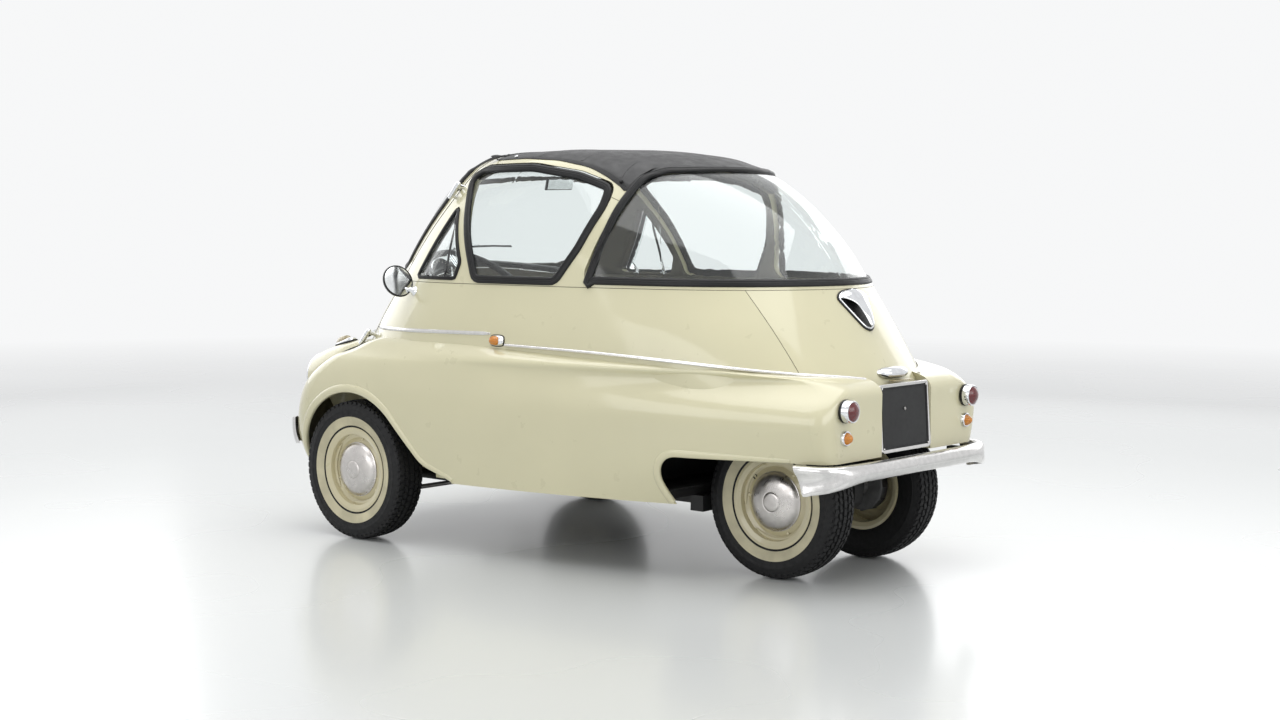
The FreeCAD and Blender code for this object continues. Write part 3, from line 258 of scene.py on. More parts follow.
IVORY = (0.668, 0.628, 0.418)
CREAM = (0.60, 0.54, 0.345)
M = {
    "ivory_paint": enamel("ivory_paint", IVORY),
    "wheel_paint": enamel("wheel_paint", CREAM),
    "chassis_black": rubber("chassis_black", (0.020, 0.020, 0.020), 0.38, 300),
    "bright_chrome": bright_metal("bright_chrome", (0.80, 0.81, 0.83), 0.05),
    "polished_aluminium": bright_metal("polished_aluminium", (0.70, 0.69, 0.68), 0.17, (1, 14, 14), 0.10),
    "steel": bright_metal("steel", (0.36, 0.35, 0.34), 0.36),
    "tyre_rubber": rubber("tyre_rubber", (0.0075, 0.0075, 0.008), 0.62),
    "seal_rubber": rubber("seal_rubber", (0.0065, 0.0065, 0.007), 0.40),
    "clear_glass": glass("clear_glass", (0.93, 0.965, 0.96)),
    "red_lens": lens("red_lens", (0.135, 0.003, 0.006), 0.10, 420, 0.08),
    "amber_lens": lens("amber_lens", (0.80, 0.26, 0.008), 0.12, 420, 0.2),
    "roof_fabric": leather_cloth("roof_fabric", (0.030, 0.030, 0.031), 1100, 0.5),
    "seat_cloth": woven("seat_cloth", (0.27, 0.235, 0.145), (0.13, 0.115, 0.075)),
    "trim_board": leather_cloth("trim_board", (0.105, 0.095, 0.058), 520, 0.55),
    "black_plastic": rubber("black_plastic", (0.007, 0.007, 0.007), 0.2, 60),
    "plate_black": rubber("plate_black", (0.0055, 0.006, 0.0065), 0.34, 80),
    "engine_grey": bright_metal("engine_grey", (0.20, 0.20, 0.20), 0.55, (1, 1, 1), 0.8),
    # painted shadow for the grooves of the panel seams, made with the rubber builder's grain
    "joint_shadow": rubber("joint_shadow", (0.10, 0.092, 0.06), 0.6, 200),
    "pale_lens": lens("pale_lens", (0.62, 0.52, 0.30), 0.15, 260, 0.45),
    "lamp_glass": glass("lamp_glass", (0.95, 0.97, 0.97), 0.02, 40),
    "seat_piping": leather_cloth("seat_piping", (0.17, 0.15, 0.095), 700, 0.5),
    "dull_chrome": bright_metal("dull_chrome", (0.60, 0.575, 0.555), 0.30, (1, 1, 1), 0.1),
    "pale_paint": plain("pale_paint", (0.62, 0.60, 0.50), Roughness=0.5).material,
    "mirror_face": bright_metal("mirror_face", (0.86, 0.88, 0.88), 0.10, (1, 1, 1), 0.0),
    "trim_olive": leather_cloth("trim_olive", (0.092, 0.082, 0.052), 520, 0.6),
    "floor_rubber": rubber("floor_rubber", (0.010, 0.010, 0.010), 0.7, 300),
    "whitewall": rubber("whitewall", (0.50, 0.46, 0.32), 0.6, 500),
}
slot_of = {p["node"]: p["material_slot"] for p in frame["record"]["subparts"]}
for name, item in NODES.items():
    item.data.materials.clear()
    item.data.materials.append(M[slot_of[name]])
NODES["instrument_panel"].data.materials[0] = M["trim_olive"]


# ---------------------------------------------------------------- studio
def lamp(name, place, aim, width, depth, power):
    data = bpy.data.lights.new(name, "AREA")
    data.shape = "RECTANGLE"
    data.size, data.size_y, data.energy = width, depth, power
    made = bpy.data.objects.new(name, data)
    bpy.context.scene.collection.objects.link(made)
    made.location = place
    made.rotation_mode = "QUATERNION"
    made.rotation_quaternion = (Vector(aim) - Vector(place)).to_track_quat("-Z", "Y")


lamp("overhead", (0.3, 0.2, 4.6), (0, 0, 0.6), 6.5, 5.0, 190)
lamp("left_wall", (5.2, 0.5, 2.0), (0, 0, 0.7), 4.5, 2.2, 48)
lamp("back_wall", (0.5, 5.4, 2.2), (0, 0, 0.7), 4.5, 2.2, 66)
lamp("right_wall", (-5.2, -0.5, 2.2), (0, 0, 0.7), 4.5, 2.4, 40)
lamp("front_wall", (0, -5.4, 2.2), (0, 0, 0.7), 4.5, 2.4, 40)

AMBIENT = 0.42
STUDIO_WHITE = (0.93, 0.935, 0.94, 1)
world = bpy.data.worlds.new("world")
bpy.context.scene.world = world
world.use_nodes = True
sky = world.node_tree


def seen_factor(tree):
    """1 for rays from the camera, from mirrors and through glass."""
    path = tree.nodes.new("ShaderNodeLightPath")
    total = path.outputs["Is Camera Ray"]
    for other in ("Is Glossy Ray", "Is Transmission Ray"):
        add = tree.nodes.new("ShaderNodeMath")
        add.operation = "MAXIMUM"
        tree.links.new(total, add.inputs[0])
        tree.links.new(path.outputs[other], add.inputs[1])
        total = add.outputs[0]
    return total


ambient = sky.nodes["Background"]
ambient.inputs["Color"].default_value = (0.95, 0.97, 1.0, 1)
ambient.inputs["Strength"].default_value = AMBIENT
white = sky.nodes.new("ShaderNodeBackground")
white.inputs["Color"].default_value = STUDIO_WHITE
white.inputs["Strength"].default_value = 1.0
blend_sky = sky.nodes.new("ShaderNodeMixShader")
sky.links.new(seen_factor(sky), blend_sky.inputs[0])
sky.links.new(ambient.outputs[0], blend_sky.inputs[1])
sky.links.new(white.outputs[0], blend_sky.inputs[2])
sky.links.new(blend_sky.outputs[0], sky.nodes["World Output"].inputs["Surface"])

FLOOR_HALF = 30.0
floor_mesh = bpy.data.meshes.new("floor")
floor_mesh.from_pydata(
    [(x * FLOOR_HALF, y * FLOOR_HALF, 0) for x, y in ((-1, -1), (1, -1), (1, 1), (-1, 1))], [], [(0, 1, 2, 3)]
)
floor = bpy.data.objects.new("floor", floor_mesh)
bpy.context.scene.collection.objects.link(floor)
ground = plain("studio_floor", (0.72, 0.735, 0.725), Roughness=0.28, Coat_Weight=0.25, Coat_Roughness=0.12)
ground.rough(ground.ramp(ground.noise(0.6, 2.0), 0.24, 0.30, 0.3, 0.7))
fade = ground.add("VectorMath", operation="LENGTH")
ground.link(ground.where, fade.inputs[0])
far = ground.ramp(fade.outputs["Value"], 0, 1, 3.5, 11.0)
glow = ground.add("Emission", Color=STUDIO_WHITE, Strength=1.0)
merge = ground.add("MixShader")
ground.link(ground.math("MULTIPLY", far, seen_factor(ground.material.node_tree)), merge.inputs[0])
ground.link(ground.shader.outputs[0], merge.inputs[1])
ground.link(glow.outputs[0], merge.inputs[2])
ground.link(merge.outputs[0], ground.output.inputs["Surface"])
floor_mesh.materials.append(ground.material)


# ---------------------------------------------------------------- mesh building
class Shape:
    """Vertices and faces put together from swept, turned and lofted forms, then made into one piece."""

    def __init__(self):
        self.points, self.faces = [], []

    def take(self, points, faces):
        base = len(self.points)
        self.points += [Vector(p) for p in points]
        self.faces += [tuple(base + i for i in face) for face in faces]
        return self

    def grid(self, rows, wrap_rows=False, wrap_columns=False, caps=False):
        """A net of quads over rows of points."""
        across, down = len(rows[0]), len(rows)
        points = [p for row in rows for p in row]
        faces = []
        for r in range(down if wrap_rows else down - 1):
            for c in range(across if wrap_columns else across - 1):
                below, beside = (r + 1) % down, (c + 1) % across
                faces.append(
                    (r * across + c, r * across + beside, below * across + beside, below * across + c)
                )
        if caps:
            faces.append(tuple(range(across)))
            faces.append(tuple((down - 1) * across + c for c in range(across)))
        return self.take(points, faces)

    def turn(self, outline, centre, axis, steps=48, closed=False):
        """An outline of (distance along the axis, radius) turned round an axis."""
        axis = Vector(axis).normalized()
        side = axis.orthogonal().normalized()
        other = axis.cross(side)
        rows = []
        for k in range(steps):
            turn = 2 * math.pi * k / steps
            spoke = side * math.cos(turn) + other * math.sin(turn)
            rows.append([Vector(centre) + axis * a + spoke * r for a, r in outline])
        return self.grid(rows, wrap_rows=True, wrap_columns=closed)

    def sweep(self, path, section, normals=None, closed=False, scales=None):
        """A closed section of (across, outward) points carried along a path."""
        rows = []
        count = len(path)
        normal = normals[0] if normals else (path[1] - path[0]).orthogonal()
        for k, point in enumerate(path):
            before = path[k - 1] if k or closed else point
            after = path[(k + 1) % count] if k < count - 1 or closed else point
            tangent = (after - before).normalized()
            if normals:
                normal = normals[k]
            normal = (normal - tangent * normal.dot(tangent)).normalized()
            beside = tangent.cross(normal)
            s = scales[k] if scales else 1.0
            rows.append([point + beside * (u * s) + normal * (v * s) for u, v in section])
        return self.grid(rows, wrap_rows=closed, wrap_columns=True, caps=not closed)

    def tube(self, path, radius, closed=False, steps=12, scales=None):
        return self.sweep(path, circle(radius, steps), closed=closed, scales=scales)

    def ball(self, centre, radius, axis=UP, steps=20, squash=1.0):
        outline = []
        for k in range(steps // 2 + 1):
            turn = math.pi * k / (steps // 2)
            outline.append((-math.cos(turn) * radius * squash, math.sin(turn) * radius))
        return self.turn(outline, centre, axis, steps)

    def box(self, low, high, round_=0.004, place=None):
        """A block with rounded edges and corners."""
        made = bmesh.new()
        bmesh.ops.create_cube(made, size=1.0)
        low, high = Vector(low), Vector(high)
        for v in made.verts:
            v.co = Vector(a + (b - a) * (c + 0.5) for a, b, c in zip(low, high, v.co))
        bmesh.ops.bevel(
            made, geom=list(made.edges) + list(made.verts), offset=round_, segments=3, profile=0.6,
            affect="EDGES",
        )
        made.verts.index_update()
        points = [(place @ v.co) if place else v.co.copy() for v in made.verts]
        faces = [tuple(v.index for v in f.verts) for f in made.faces]
        made.free()
        return self.take(points, faces)

    def mirrored(self):
        """Adds a copy on the other side of the car."""
        count = len(self.points)
        points = [Vector((-p.x, p.y, p.z)) for p in self.points[:count]]
        return self.take(points, [tuple(reversed(face)) for face in self.faces])

    def build(self, name, material, body="body", sharp=38, levels=0):
        mesh = bpy.data.meshes.new(name)
        mesh.from_pydata([tuple(p) for p in self.points], [], self.faces)
        work = bmesh.new()
        work.from_mesh(mesh)
        bmesh.ops.remove_doubles(work, verts=work.verts, dist=0.00002)
        bmesh.ops.dissolve_degenerate(work, edges=work.edges, dist=0.00001)
        bmesh.ops.recalc_face_normals(work, faces=work.faces)
        work.to_mesh(mesh)
        work.free()
        mesh.materials.append(M[material])
        mesh.shade_smooth()
        mesh.set_sharp_from_angle(angle=math.radians(sharp))
        made = bpy.data.objects.new(name, mesh)
        bpy.context.scene.collection.objects.link(made)
        if levels:
            rounding = made.modifiers.new("rounding", "SUBSURF")
            rounding.levels = rounding.render_levels = levels
        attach(made, body)
        return made


def circle(radius, steps=12, flat=1.0):
    turns = [2 * math.pi * k / steps for k in range(steps)]
    return [(math.cos(t) * radius, math.sin(t) * radius * flat) for t in turns]


def spline(points, spacing, closed=False):
    """Evenly spaced points on a smooth curve through the given points."""
    points = [Vector(p) for p in points]
    count = len(points)
    dense = []
    for k in range(count if closed else count - 1):
        if closed:
            a, b, c, d = (points[(k + j) % count] for j in (-1, 0, 1, 2))
        else:
            a, b, c, d = (points[min(max(k + j, 0), count - 1)] for j in (-1, 0, 1, 2))
        for step in range(24):
            t = step / 24
            dense.append(
                0.5
                * (
                    2 * b
                    + (c - a) * t
                    + (2 * a - 5 * b + 4 * c - d) * t * t
                    + (3 * b - a - 3 * c + d) * t * t * t
                )
            )
    if not closed:
        dense.append(points[-1])
    return even(dense, spacing, closed)


def even(points, spacing, closed=False):
    """The same line as the points, divided evenly."""
    points = list(points)
    if closed:
        points.append(points[0])
    lengths = [0.0]
    for a, b in zip(points, points[1:]):
        lengths.append(lengths[-1] + (b - a).length)
    number = max(2, round(lengths[-1] / spacing))
    out, k = [], 0
    for step in range(number if closed else number + 1):
        want = lengths[-1] * step / number
        while k < len(points) - 2 and lengths[k + 1] < want:
            k += 1
        span = lengths[k + 1] - lengths[k]
        out.append(points[k].lerp(points[k + 1], (want - lengths[k]) / span if span else 0.0))
    return out


def rounded(corners, default=0.0, step=0.006, share=0.49):
    """A closed flat outline with its corners rounded: corners of (u, v[, radius])."""
    count = len(corners)
    out = []
    for k in range(count):
        here = Vector(corners[k][:2])
        back = Vector(corners[k - 1][:2]) - here
        ahead = Vector(corners[(k + 1) % count][:2]) - here
        radius = corners[k][2] if len(corners[k]) > 2 else default
        half = back.angle(ahead) / 2
        cut = min(radius / math.tan(half), back.length * share, ahead.length * share)
        if radius <= 0 or math.pi / 2 - half < 0.01:
            out.append(here)
            continue
        first, last = here + back.normalized() * cut, here + ahead.normalized() * cut
        radius = cut * math.tan(half)
        centre = here + (back.normalized() + ahead.normalized()).normalized() * (radius / math.sin(half))
        sweep_angle = math.pi - 2 * half
        turns = max(3, round(sweep_angle * radius / step))
        a, b = first - centre, last - centre
        for j in range(turns + 1):
            t = j / turns
            out.append(
                centre + (
                    a * math.sin((1 - t) * sweep_angle) + b * math.sin(t * sweep_angle)
                ) / math.sin(sweep_angle)
            )
    return out


def skin_tree(*names):
    points, faces = [], []
    for name in names:
        mesh = NODES[name].data
        base = len(points)
        points += [v.co.copy() for v in mesh.vertices]
        faces += [tuple(base + i for i in f.vertices) for f in mesh.polygons]
    return BVHTree.FromPolygons(points, faces)


SIDE = skin_tree("side_body_left", "window_frames", "tail_panel")


def on_side(y, z, lift=0.0, tree=SIDE):
    """The point of the left side's skin at (y, z), and its normal."""
    hit, normal, _, _ = tree.ray_cast(Vector((1.5, y, z)), Vector((-1, 0, 0)))
    if hit is None:
        return None, None
    if normal.x < 0:
        normal = -normal
    return hit + normal * lift, normal


# ---------------------------------------------------------------- wheels
TYRE_R = (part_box("rear_tyre_left")[1].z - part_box("rear_tyre_left")[0].z) / 2
RIM_R = 0.1454
TREAD_DEEP = 0.0065
SIDEWALL = [
    # distance from the middle plane and radius, from the bead to the tread
    (0.0435, RIM_R - 0.011),
    (0.0470, RIM_R + 0.0015),
    (0.0500, RIM_R + 0.006),
    (0.0545, 0.163),
    (0.0572, 0.178),
    (0.0575, 0.1835),
    (0.0581, 0.185),
    (0.0583, 0.193),
    (0.0582, 0.2010),
    (0.0588, 0.2022),
    (0.0588, 0.2050),
    (0.0578, 0.2062),
    (0.0560, 0.2170),
    (0.0520, TYRE_R - TREAD_DEEP - 0.006),
    (0.0400, TYRE_R - TREAD_DEEP - 0.001),
    (0.0200, TYRE_R - TREAD_DEEP),
]
BLOCKS = 62
TREAD_ROWS = [
    # middle and width of a row, blocks round the tyre, how far each block is skewed
    (0.0425, 0.0150, BLOCKS, 0.004),
    (0.0225, 0.0135, BLOCKS, -0.003),
    (0.0, 0.0165, BLOCKS, 0.0),
]


def tread_top(x):
    """The crown's radius across the tread."""
    return TYRE_R - 0.0002 - 0.0045 * (abs(x) / 0.05) ** 2.4


def block_at(shape, centre, sign, x, width, turn, reach, skew, low):
    """One tread block, curved with the crown and a little lower at both ends."""
    rows = []
    for k in range(4):
        t = k / 3
        angle = turn + (t - 0.5) * reach
        taper = 0.0016 if k in (0, 3) else 0.0
        zig = (skew if t < 0.5 else -skew) * 0.5
        row = []
        for u, height in ((-0.5, 0), (-0.5, 1), (0.5, 1), (0.5, 0)):
            xx = x + u * (width - (0.0014 if height else 0)) + zig
            r = (tread_top(xx) - taper * 0.25) if height else low
            row.append(centre + Vector((sign * xx, -math.sin(angle) * r, math.cos(angle) * r)))
        rows.append(row)
    shape.grid(rows, wrap_columns=True, caps=True)


def make_tyre(where, side, body, outward):
    centre = Vector((sum(c.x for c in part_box(f"{where}_tyre_{side}")) / 2, 0, TYRE_R))
    centre.y = sum(c.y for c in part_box(f"{where}_tyre_{side}")) / 2
    outline = SIDEWALL + [(-x, r) for x, r in reversed(SIDEWALL)]
    carcass = Shape().turn(outline, centre, (1, 0, 0), 120, closed=True)
    for x, width, count, skew in TREAD_ROWS:
        for sign in (1, -1) if x else (1,):
            for k in range(count):
                turn = 2 * math.pi * (k + (0.5 if x == 0.0225 else 0)) / count
                reach = 2 * math.pi / count * (0.80 if x else 0.9)
                low = TYRE_R - TREAD_DEEP - (0.0045 if x > 0.03 else 0.001)
                block_at(carcass, centre, sign, x, width, turn, reach, skew, low)
    for k in range(BLOCKS):
        turn = 2 * math.pi * (k + 0.5) / BLOCKS
        for sign in (1, -1):
            rows = []
            for j in (-1, 1):
                angle = turn + j * 0.030
                ring = []
                for x, r in ((0.0530, 0.2200), (0.0548, 0.2235), (0.0520, 0.2325), (0.0475, 0.2300)):
                    ring.append(centre + Vector((sign * x, -math.sin(angle) * r, math.cos(angle) * r)))
                rows.append(ring)
            carcass.grid(rows, wrap_columns=True, caps=True)
    made = carcass.build(f"{where}_tread_tyre_{side}", "tyre_rubber", body, sharp=30)
    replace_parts(made, f"{where}_tyre_{side}")
    wall = [(0.0502, RIM_R + 0.0062), (0.0549, 0.163), (0.0577, 0.1785), (0.0584, 0.1822)]
    ring = wall + [(x - 0.002, r) for x, r in reversed(wall)]
    Shape().turn([(outward * x, r) for x, r in ring], centre, (1, 0, 0), 120, closed=True).build(
        f"{where}_whitewall_{side}", "whitewall", body
    )
    return centre


def polar(centre, outward, x, radius, degrees):
    turn = math.radians(degrees)
    return centre + Vector((outward * x, outward * math.cos(turn) * radius, math.sin(turn) * radius))


RIB_STARTS = [110, 230, 350]
RIB_SPAN = 80
VALVE_TURN = 141


def dress_wheel(where, side, body, outward, centre, phase):
    """Pressed ribs, cap clips, the valve in its hole, and the domed cap."""
    ribs = Shape()
    for start in RIB_STARTS:
        path = [polar(centre, outward, 0.0262, 0.1175, start + phase + RIB_SPAN * k / 14) for k in range(15)]
        sizes = [0.35 + 0.65 * math.sin(math.pi * min(1, k / 14 * 5) / 2) for k in range(15)]
        sizes = [min(a, b) for a, b in zip(sizes, reversed(sizes))]
        ribs.sweep(path, circle(0.0068, 14, 0.62), [Vector((outward, 0, 0))] * 15, scales=sizes)
    ribs.build(f"{where}_wheel_ribs_{side}", "wheel_paint", body)
    clips = Shape()
    for start in (54, 174, 294):
        spot = polar(centre, outward, 0.0225, 0.1050, start + phase)
        clips.turn(
            [(-0.004, 0.0), (-0.004, 0.0062), (0.002, 0.0058), (0.0042, 0.0035), (0.0048, 0.0)],
            spot, (outward, 0, 0), 14,
        )
    clips.build(f"{where}_cap_clips_{side}", "wheel_paint", body)
    hole = polar(centre, outward, 0.0212, 0.1075, VALVE_TURN + phase)
    Shape().turn(
        [
            (-0.004, 0.0), (-0.004, 0.0072), (0.0012, 0.0080), (0.0020, 0.0068), (0.0010, 0.0050),
            (-0.0015, 0.0042), (-0.0015, 0.0)
        ],
        hole, (outward, 0, 0), 24,
    ).build(f"{where}_valve_hole_{side}", "seal_rubber", body)
    cap = Shape().turn(
        [(outward * a, r) for a, r in CAP], centre, (1, 0, 0), 96,
    ).build(f"{where}_cap_{side}", "dull_chrome", body, sharp=50)
    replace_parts(cap, f"{where}_hubcap_{side}")


CAP = [
    # out along the axle and radius: the rolled edge, the dome, the groove and the round boss
    (0.0240, 0.0), (0.0240, 0.0880), (0.0262, 0.0910), (0.0282, 0.0930), (0.0302, 0.0925), (0.0310, 0.0908),
    (0.0318, 0.0895),
    (0.0370, 0.0860), (0.0425, 0.0790), (0.0468, 0.0690), (0.0498, 0.0570), (0.0518, 0.0450),
    (0.0530, 0.0350), (0.0532, 0.0325),
    (0.0524, 0.0312), (0.0526, 0.0302), (0.0540, 0.0293), (0.0552, 0.0270), (0.0562, 0.0200),
    (0.0567, 0.0110), (0.0569, 0.0),
]
PHASE = {"front": 48 - VALVE_TURN, "rear": 0}
for where in ("front", "rear"):
    for side, outward in (("left", 1), ("right", -1)):
        body = f"front_wheel_{side}" if where == "front" else "rear_wheels"
        middle = make_tyre(where, side, body, outward)
        dress_wheel(where, side, body, outward, middle, PHASE[where])

# ---------------------------------------------------------------- lines on the skin
SEAM_SLOPE = 0.76
SEAM_FOOT = (-0.833, 0.682)
SEAM_TOP = 1.292
DOOR = skin_tree("front_door", "windscreen", "windscreen_seal")
SHELL = skin_tree("side_body_left", "side_body_right", "window_frames", "tail_panel", "front_panel")
REAR = skin_tree("rear_glass_seal", "rear_glass")
SEALS = skin_tree("side_window_seals", "side_glass")
ROOF = skin_tree("fabric_roof")
SIDE_ALL = skin_tree("side_body_left", "window_frames", "side_window_seals", "side_glass")


def cast(tree, origin, direction, lift=0.0):
    hit, normal, _, _ = tree.ray_cast(Vector(origin), Vector(direction).normalized())
    if hit is None:
        return None
    if normal.dot(Vector(direction)) > 0:
        normal = -normal
    return hit + normal * lift, normal


def flip(v):
    """The same place or direction on the other side of the car."""
    return Vector((-v.x, v.y, v.z))


def from_left(places):
    """Rays across the car from its left, at places of (y, z)."""
    return [((1.5, y, z), (-1, 0, 0)) for y, z in places]


def from_above(y, xs):
    return [((x, y, 2), (0, 0, -1)) for x in xs]


def give_thickness(piece, name, thickness, side):
    """Makes a solid of an open skin. side is 1 outwards, -1 inwards, 0 both."""
    skin = piece.modifiers.new(name, "SOLIDIFY")
    skin.thickness, skin.offset = thickness, side


def cast_line(tree, rays, lift=0.0):
    """Points and normals where rays meet a surface. A ray that misses is left out."""
    found = [f for f in (cast(tree, o, d, lift) for o, d in rays) if f]
    return [f[0] for f in found], [f[1] for f in found]


def seam_y(z, off):
    return SEAM_FOOT[0] + (min(z, SEAM_TOP) - SEAM_FOOT[1]) * SEAM_SLOPE + off


def seam_line(tree, off, low, lift=0.0, x_top=0.30):
    """The line over the car in a plane beside the door seam, from low on the left to low on the right."""
    left = from_left([(seam_y(z, off), z) for z in steps(low, 1.262, 26)])
    top = from_above(seam_y(2, off), steps(x_top, 0.0, 12))
    half_points, half_normals = cast_line(tree, left + top, lift)
    points = half_points + [flip(p) for p in reversed(half_points[:-1])]
    normals = half_normals + [flip(n) for n in reversed(half_normals[:-1])]
    return points, normals


def steps(start, end, count):
    return [start + (end - start) * k / (count - 1) for k in range(count)]


def offset(outline, distance):
    """A closed flat outline moved inwards: to the left of its direction when it runs anticlockwise."""
    count = len(outline)
    out = []
    for k in range(count):
        a, b = outline[k - 1], outline[(k + 1) % count]
        along = (b - a).normalized()
        out.append(outline[k] + Vector((-along.y, along.x)) * distance)
    return out


def smooth(normals, passes=3):
    for _ in range(passes):
        count = len(normals)
        normals = [
            (normals[max(k - 1, 0)] + normals[k] * 2 + normals[min(k + 1, count - 1)]).normalized()
            for k in range(count)
        ]
    return normals


def near_normals(points, tree, inside):
    """The surface's normal near each point, turned away from a point inside the car."""
    out = []
    for p in points:
        normal = tree.find_nearest(p)[1]
        out.append(normal if normal.dot(p - inside) > 0 else -normal)
    return smooth(out)


# ---------------------------------------------------------------- rubber round the windows
RUBBER = [
    # across, outward: two lips with the filler strip between them
    (-0.0130, -0.0060), (-0.0134, 0.0008), (-0.0122, 0.0040), (-0.0090, 0.0062), (-0.0048, 0.0066),
    (-0.0034, 0.0052), (-0.0020, 0.0060), (0.0020, 0.0060), (0.0034, 0.0052), (0.0048, 0.0066),
    (0.0090, 0.0062), (0.0122, 0.0040), (0.0134, 0.0008), (0.0130, -0.0060),
]
SEAL_LIFT = -0.005
SIDE_WINDOW = [
    (-0.253, 0.889, 0.040), (-0.405, 1.240, 0.042), (-0.330, 1.275, 0.09), (-0.085, 1.278, 0.3),
    (0.095, 1.250, 0.16), (0.214, 1.208, 0.038), (0.214, 1.140, 0.16), (0.160, 1.000, 0.2),
    (0.090, 0.889, 0.045),
]
VENT_WINDOW = [(-0.551, 0.896, 0.014), (-0.402, 1.150, 0.014), (-0.311, 0.955, 0.02), (-0.330, 0.896, 0.014)]


def window_path(outline, inset, tree, lift):
    line = offset(rounded(outline, step=0.012), -inset)
    flat = even([Vector((p.x, p.y, 0)) for p in line], 0.012, True)
    return cast_line(tree, from_left([(p.x, p.y) for p in flat]), lift)


side_seal = Shape()
points, normals = window_path(SIDE_WINDOW, 0.0128, SEALS, SEAL_LIFT)
side_seal.sweep(points, RUBBER, smooth(normals), closed=True)
points, normals = window_path(VENT_WINDOW, 0.0052, SEALS, SEAL_LIFT)
side_seal.sweep(points, [(u * 0.46, v * 0.8) for u, v in RUBBER], smooth(normals), closed=True)
side_seal = side_seal.mirrored().build("window_rubber", "seal_rubber")
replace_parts(side_seal, "side_window_seals")
pane_edges, edge_normals = window_path(VENT_WINDOW, 0.0118, SEALS, -0.0060)
Shape().sweep(
    pane_edges, [(-0.0070, -0.0015), (-0.0070, 0.0015), (0.0070, 0.0015), (0.0070, -0.0015)],
    smooth(edge_normals), closed=True,
).mirrored().build("vent_pane_edges", "clear_glass")

REAR_EDGE = [(0.1846, 0.9500), (0.205, 1.020), (0.2445, 1.098), (0.2755, 1.198), (0.292, 1.235)]
rear_rays = [
    ((math.sin(t) * 3, 0.1 + math.cos(t) * 3, 0.9078), (-math.sin(t), -math.cos(t), 0))
    for t in steps(0, math.radians(81), 40)
]
rear_points, _ = cast_line(REAR, rear_rays, SEAL_LIFT)
more, _ = cast_line(REAR, from_left(REAR_EDGE), SEAL_LIFT)
rear_points += more
top_rays = [
    ((x, -0.08 + math.sqrt(0.4926**2 - x * x), 2.0), (0, 0, -1)) for x in steps(0.285, 0.0, 16)
]
more, _ = cast_line(REAR, top_rays, SEAL_LIFT)
rear_points += more
loop = rear_points + [flip(p) for p in reversed(rear_points[1:-1])]
loop = spline(loop, 0.012, True)
rear_seal = Shape().sweep(loop, RUBBER, near_normals(loop, REAR, Vector((0, 0.1, 0.6))), closed=True)
rear_seal = rear_seal.build("rear_window_rubber", "seal_rubber")
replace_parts(rear_seal, "rear_glass_seal")

SCREEN_OFF = -0.030 * math.hypot(1, SEAM_SLOPE) - 0.0158
points, normals = seam_line(DOOR, SCREEN_OFF, 0.955, SEAL_LIFT)
low_rays = [((x, -3, 0.9178), (0, 1, 0)) for x in steps(-0.40, 0.40, 40)]
low_points, _ = cast_line(DOOR, low_rays, SEAL_LIFT)
loop = spline(points + low_points, 0.012, True)
screen_seal = Shape().sweep(loop, RUBBER, near_normals(loop, DOOR, Vector((0, -0.4, 0.9))), closed=True)
screen_seal = screen_seal.build("windscreen_rubber", "seal_rubber", "door")
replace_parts(screen_seal, "windscreen_seal")

# ---------------------------------------------------------------- weatherstrip in the door gap
points, normals = seam_line(SHELL, 0.0045, 0.720, -0.011)
strip = Shape().tube(spline(points, 0.012), 0.0056, steps=10)
strip.build("door_weatherstrip", "seal_rubber")

# ---------------------------------------------------------------- mouldings, and painted shadow lines in the panel seams
FLAT_BEAD = [
    (-0.0062, -0.002), (-0.0058, 0.0014), (-0.0034, 0.0036), (0, 0.0044), (0.0034, 0.0036), (0.0058, 0.0014),
    (0.0062, -0.002)
]
CREASE = [
    (0.596, -0.085, 0.6925), (0.585, 0.020, 0.690), (0.570, 0.180, 0.686), (0.550, 0.340, 0.680),
    (0.526, 0.500, 0.672), (0.497, 0.620, 0.664), (0.441, 0.740, 0.652), (0.381, 0.820, 0.643),
    (0.296, 0.902, 0.634), (0.226, 0.948, 0.626), (0.150, 0.992, 0.617),
]
front_rays = from_left([(y, 0.7195 + 0.0085 * t) for t, y in zip(steps(0, 1, 40), steps(-0.786, -0.150, 40))])
points, normals = cast_line(SIDE, front_rays)
ends = [0.35, 0.75] + [1.0] * (len(points) - 4) + [0.75, 0.35]
moulding = Shape().sweep(points, [(u * 1.1, v) for u, v in FLAT_BEAD], smooth(normals), scales=ends)
crease = spline(CREASE, 0.014)
settled = []
for p in crease:
    near = SIDE.find_nearest(p)[0]
    settled.append(near.lerp(p, 0.35) + Vector((0.0022, 0, 0.0026)))
settled = spline(settled[::4] + [settled[-1]], 0.012)
moulding.sweep(settled, FLAT_BEAD, [Vector((0.62, 0.12, 0.78)) for _ in settled])
moulding.mirrored().build("side_mouldings", "polished_aluminium")
pins = Shape()
for y in (-0.158, -0.772):
    spot, normal = on_side(y, 0.7195 + 0.0085 * (y + 0.786) / 0.636, 0.004)
    pins.ball(spot, 0.0022, normal, 10, 0.6)
pins.mirrored().build("moulding_pins", "steel")


def hairline(shape, rays, tree, radius=0.0011, lift=-0.0003, spacing=0.012):
    points, _ = cast_line(tree, rays, lift)
    if len(points) > 2:
        shape.tube(spline(points, spacing), radius, steps=6)


# dark ivory strips sunk into the tail lid seam, a short side seam and the belt seam: painted shadow in the
# seams' grooves
lines = Shape()
hairline(
    lines, [((x, 3, z), (0, -1, 0)) for x, z in zip(steps(0.345, 0.3255, 24), steps(0.8845, 0.638, 24))], SIDE
)
hairline(lines, from_left(zip(steps(0.216, 0.249, 6), steps(1.166, 1.152, 6))), SIDE)
belt_rays = from_left([(y, 0.8846) for y in steps(-0.672, 0.42, 60)])
belt_rays += [
    ((math.sin(t) * 3, 0.42 + math.cos(t) * 3, 0.8846), (-math.sin(t), -math.cos(t), 0))
    for t in steps(math.radians(88), 0, 50)
]
hairline(lines, belt_rays, SIDE)
lines.mirrored().build("seam_shadow_lines", "joint_shadow")

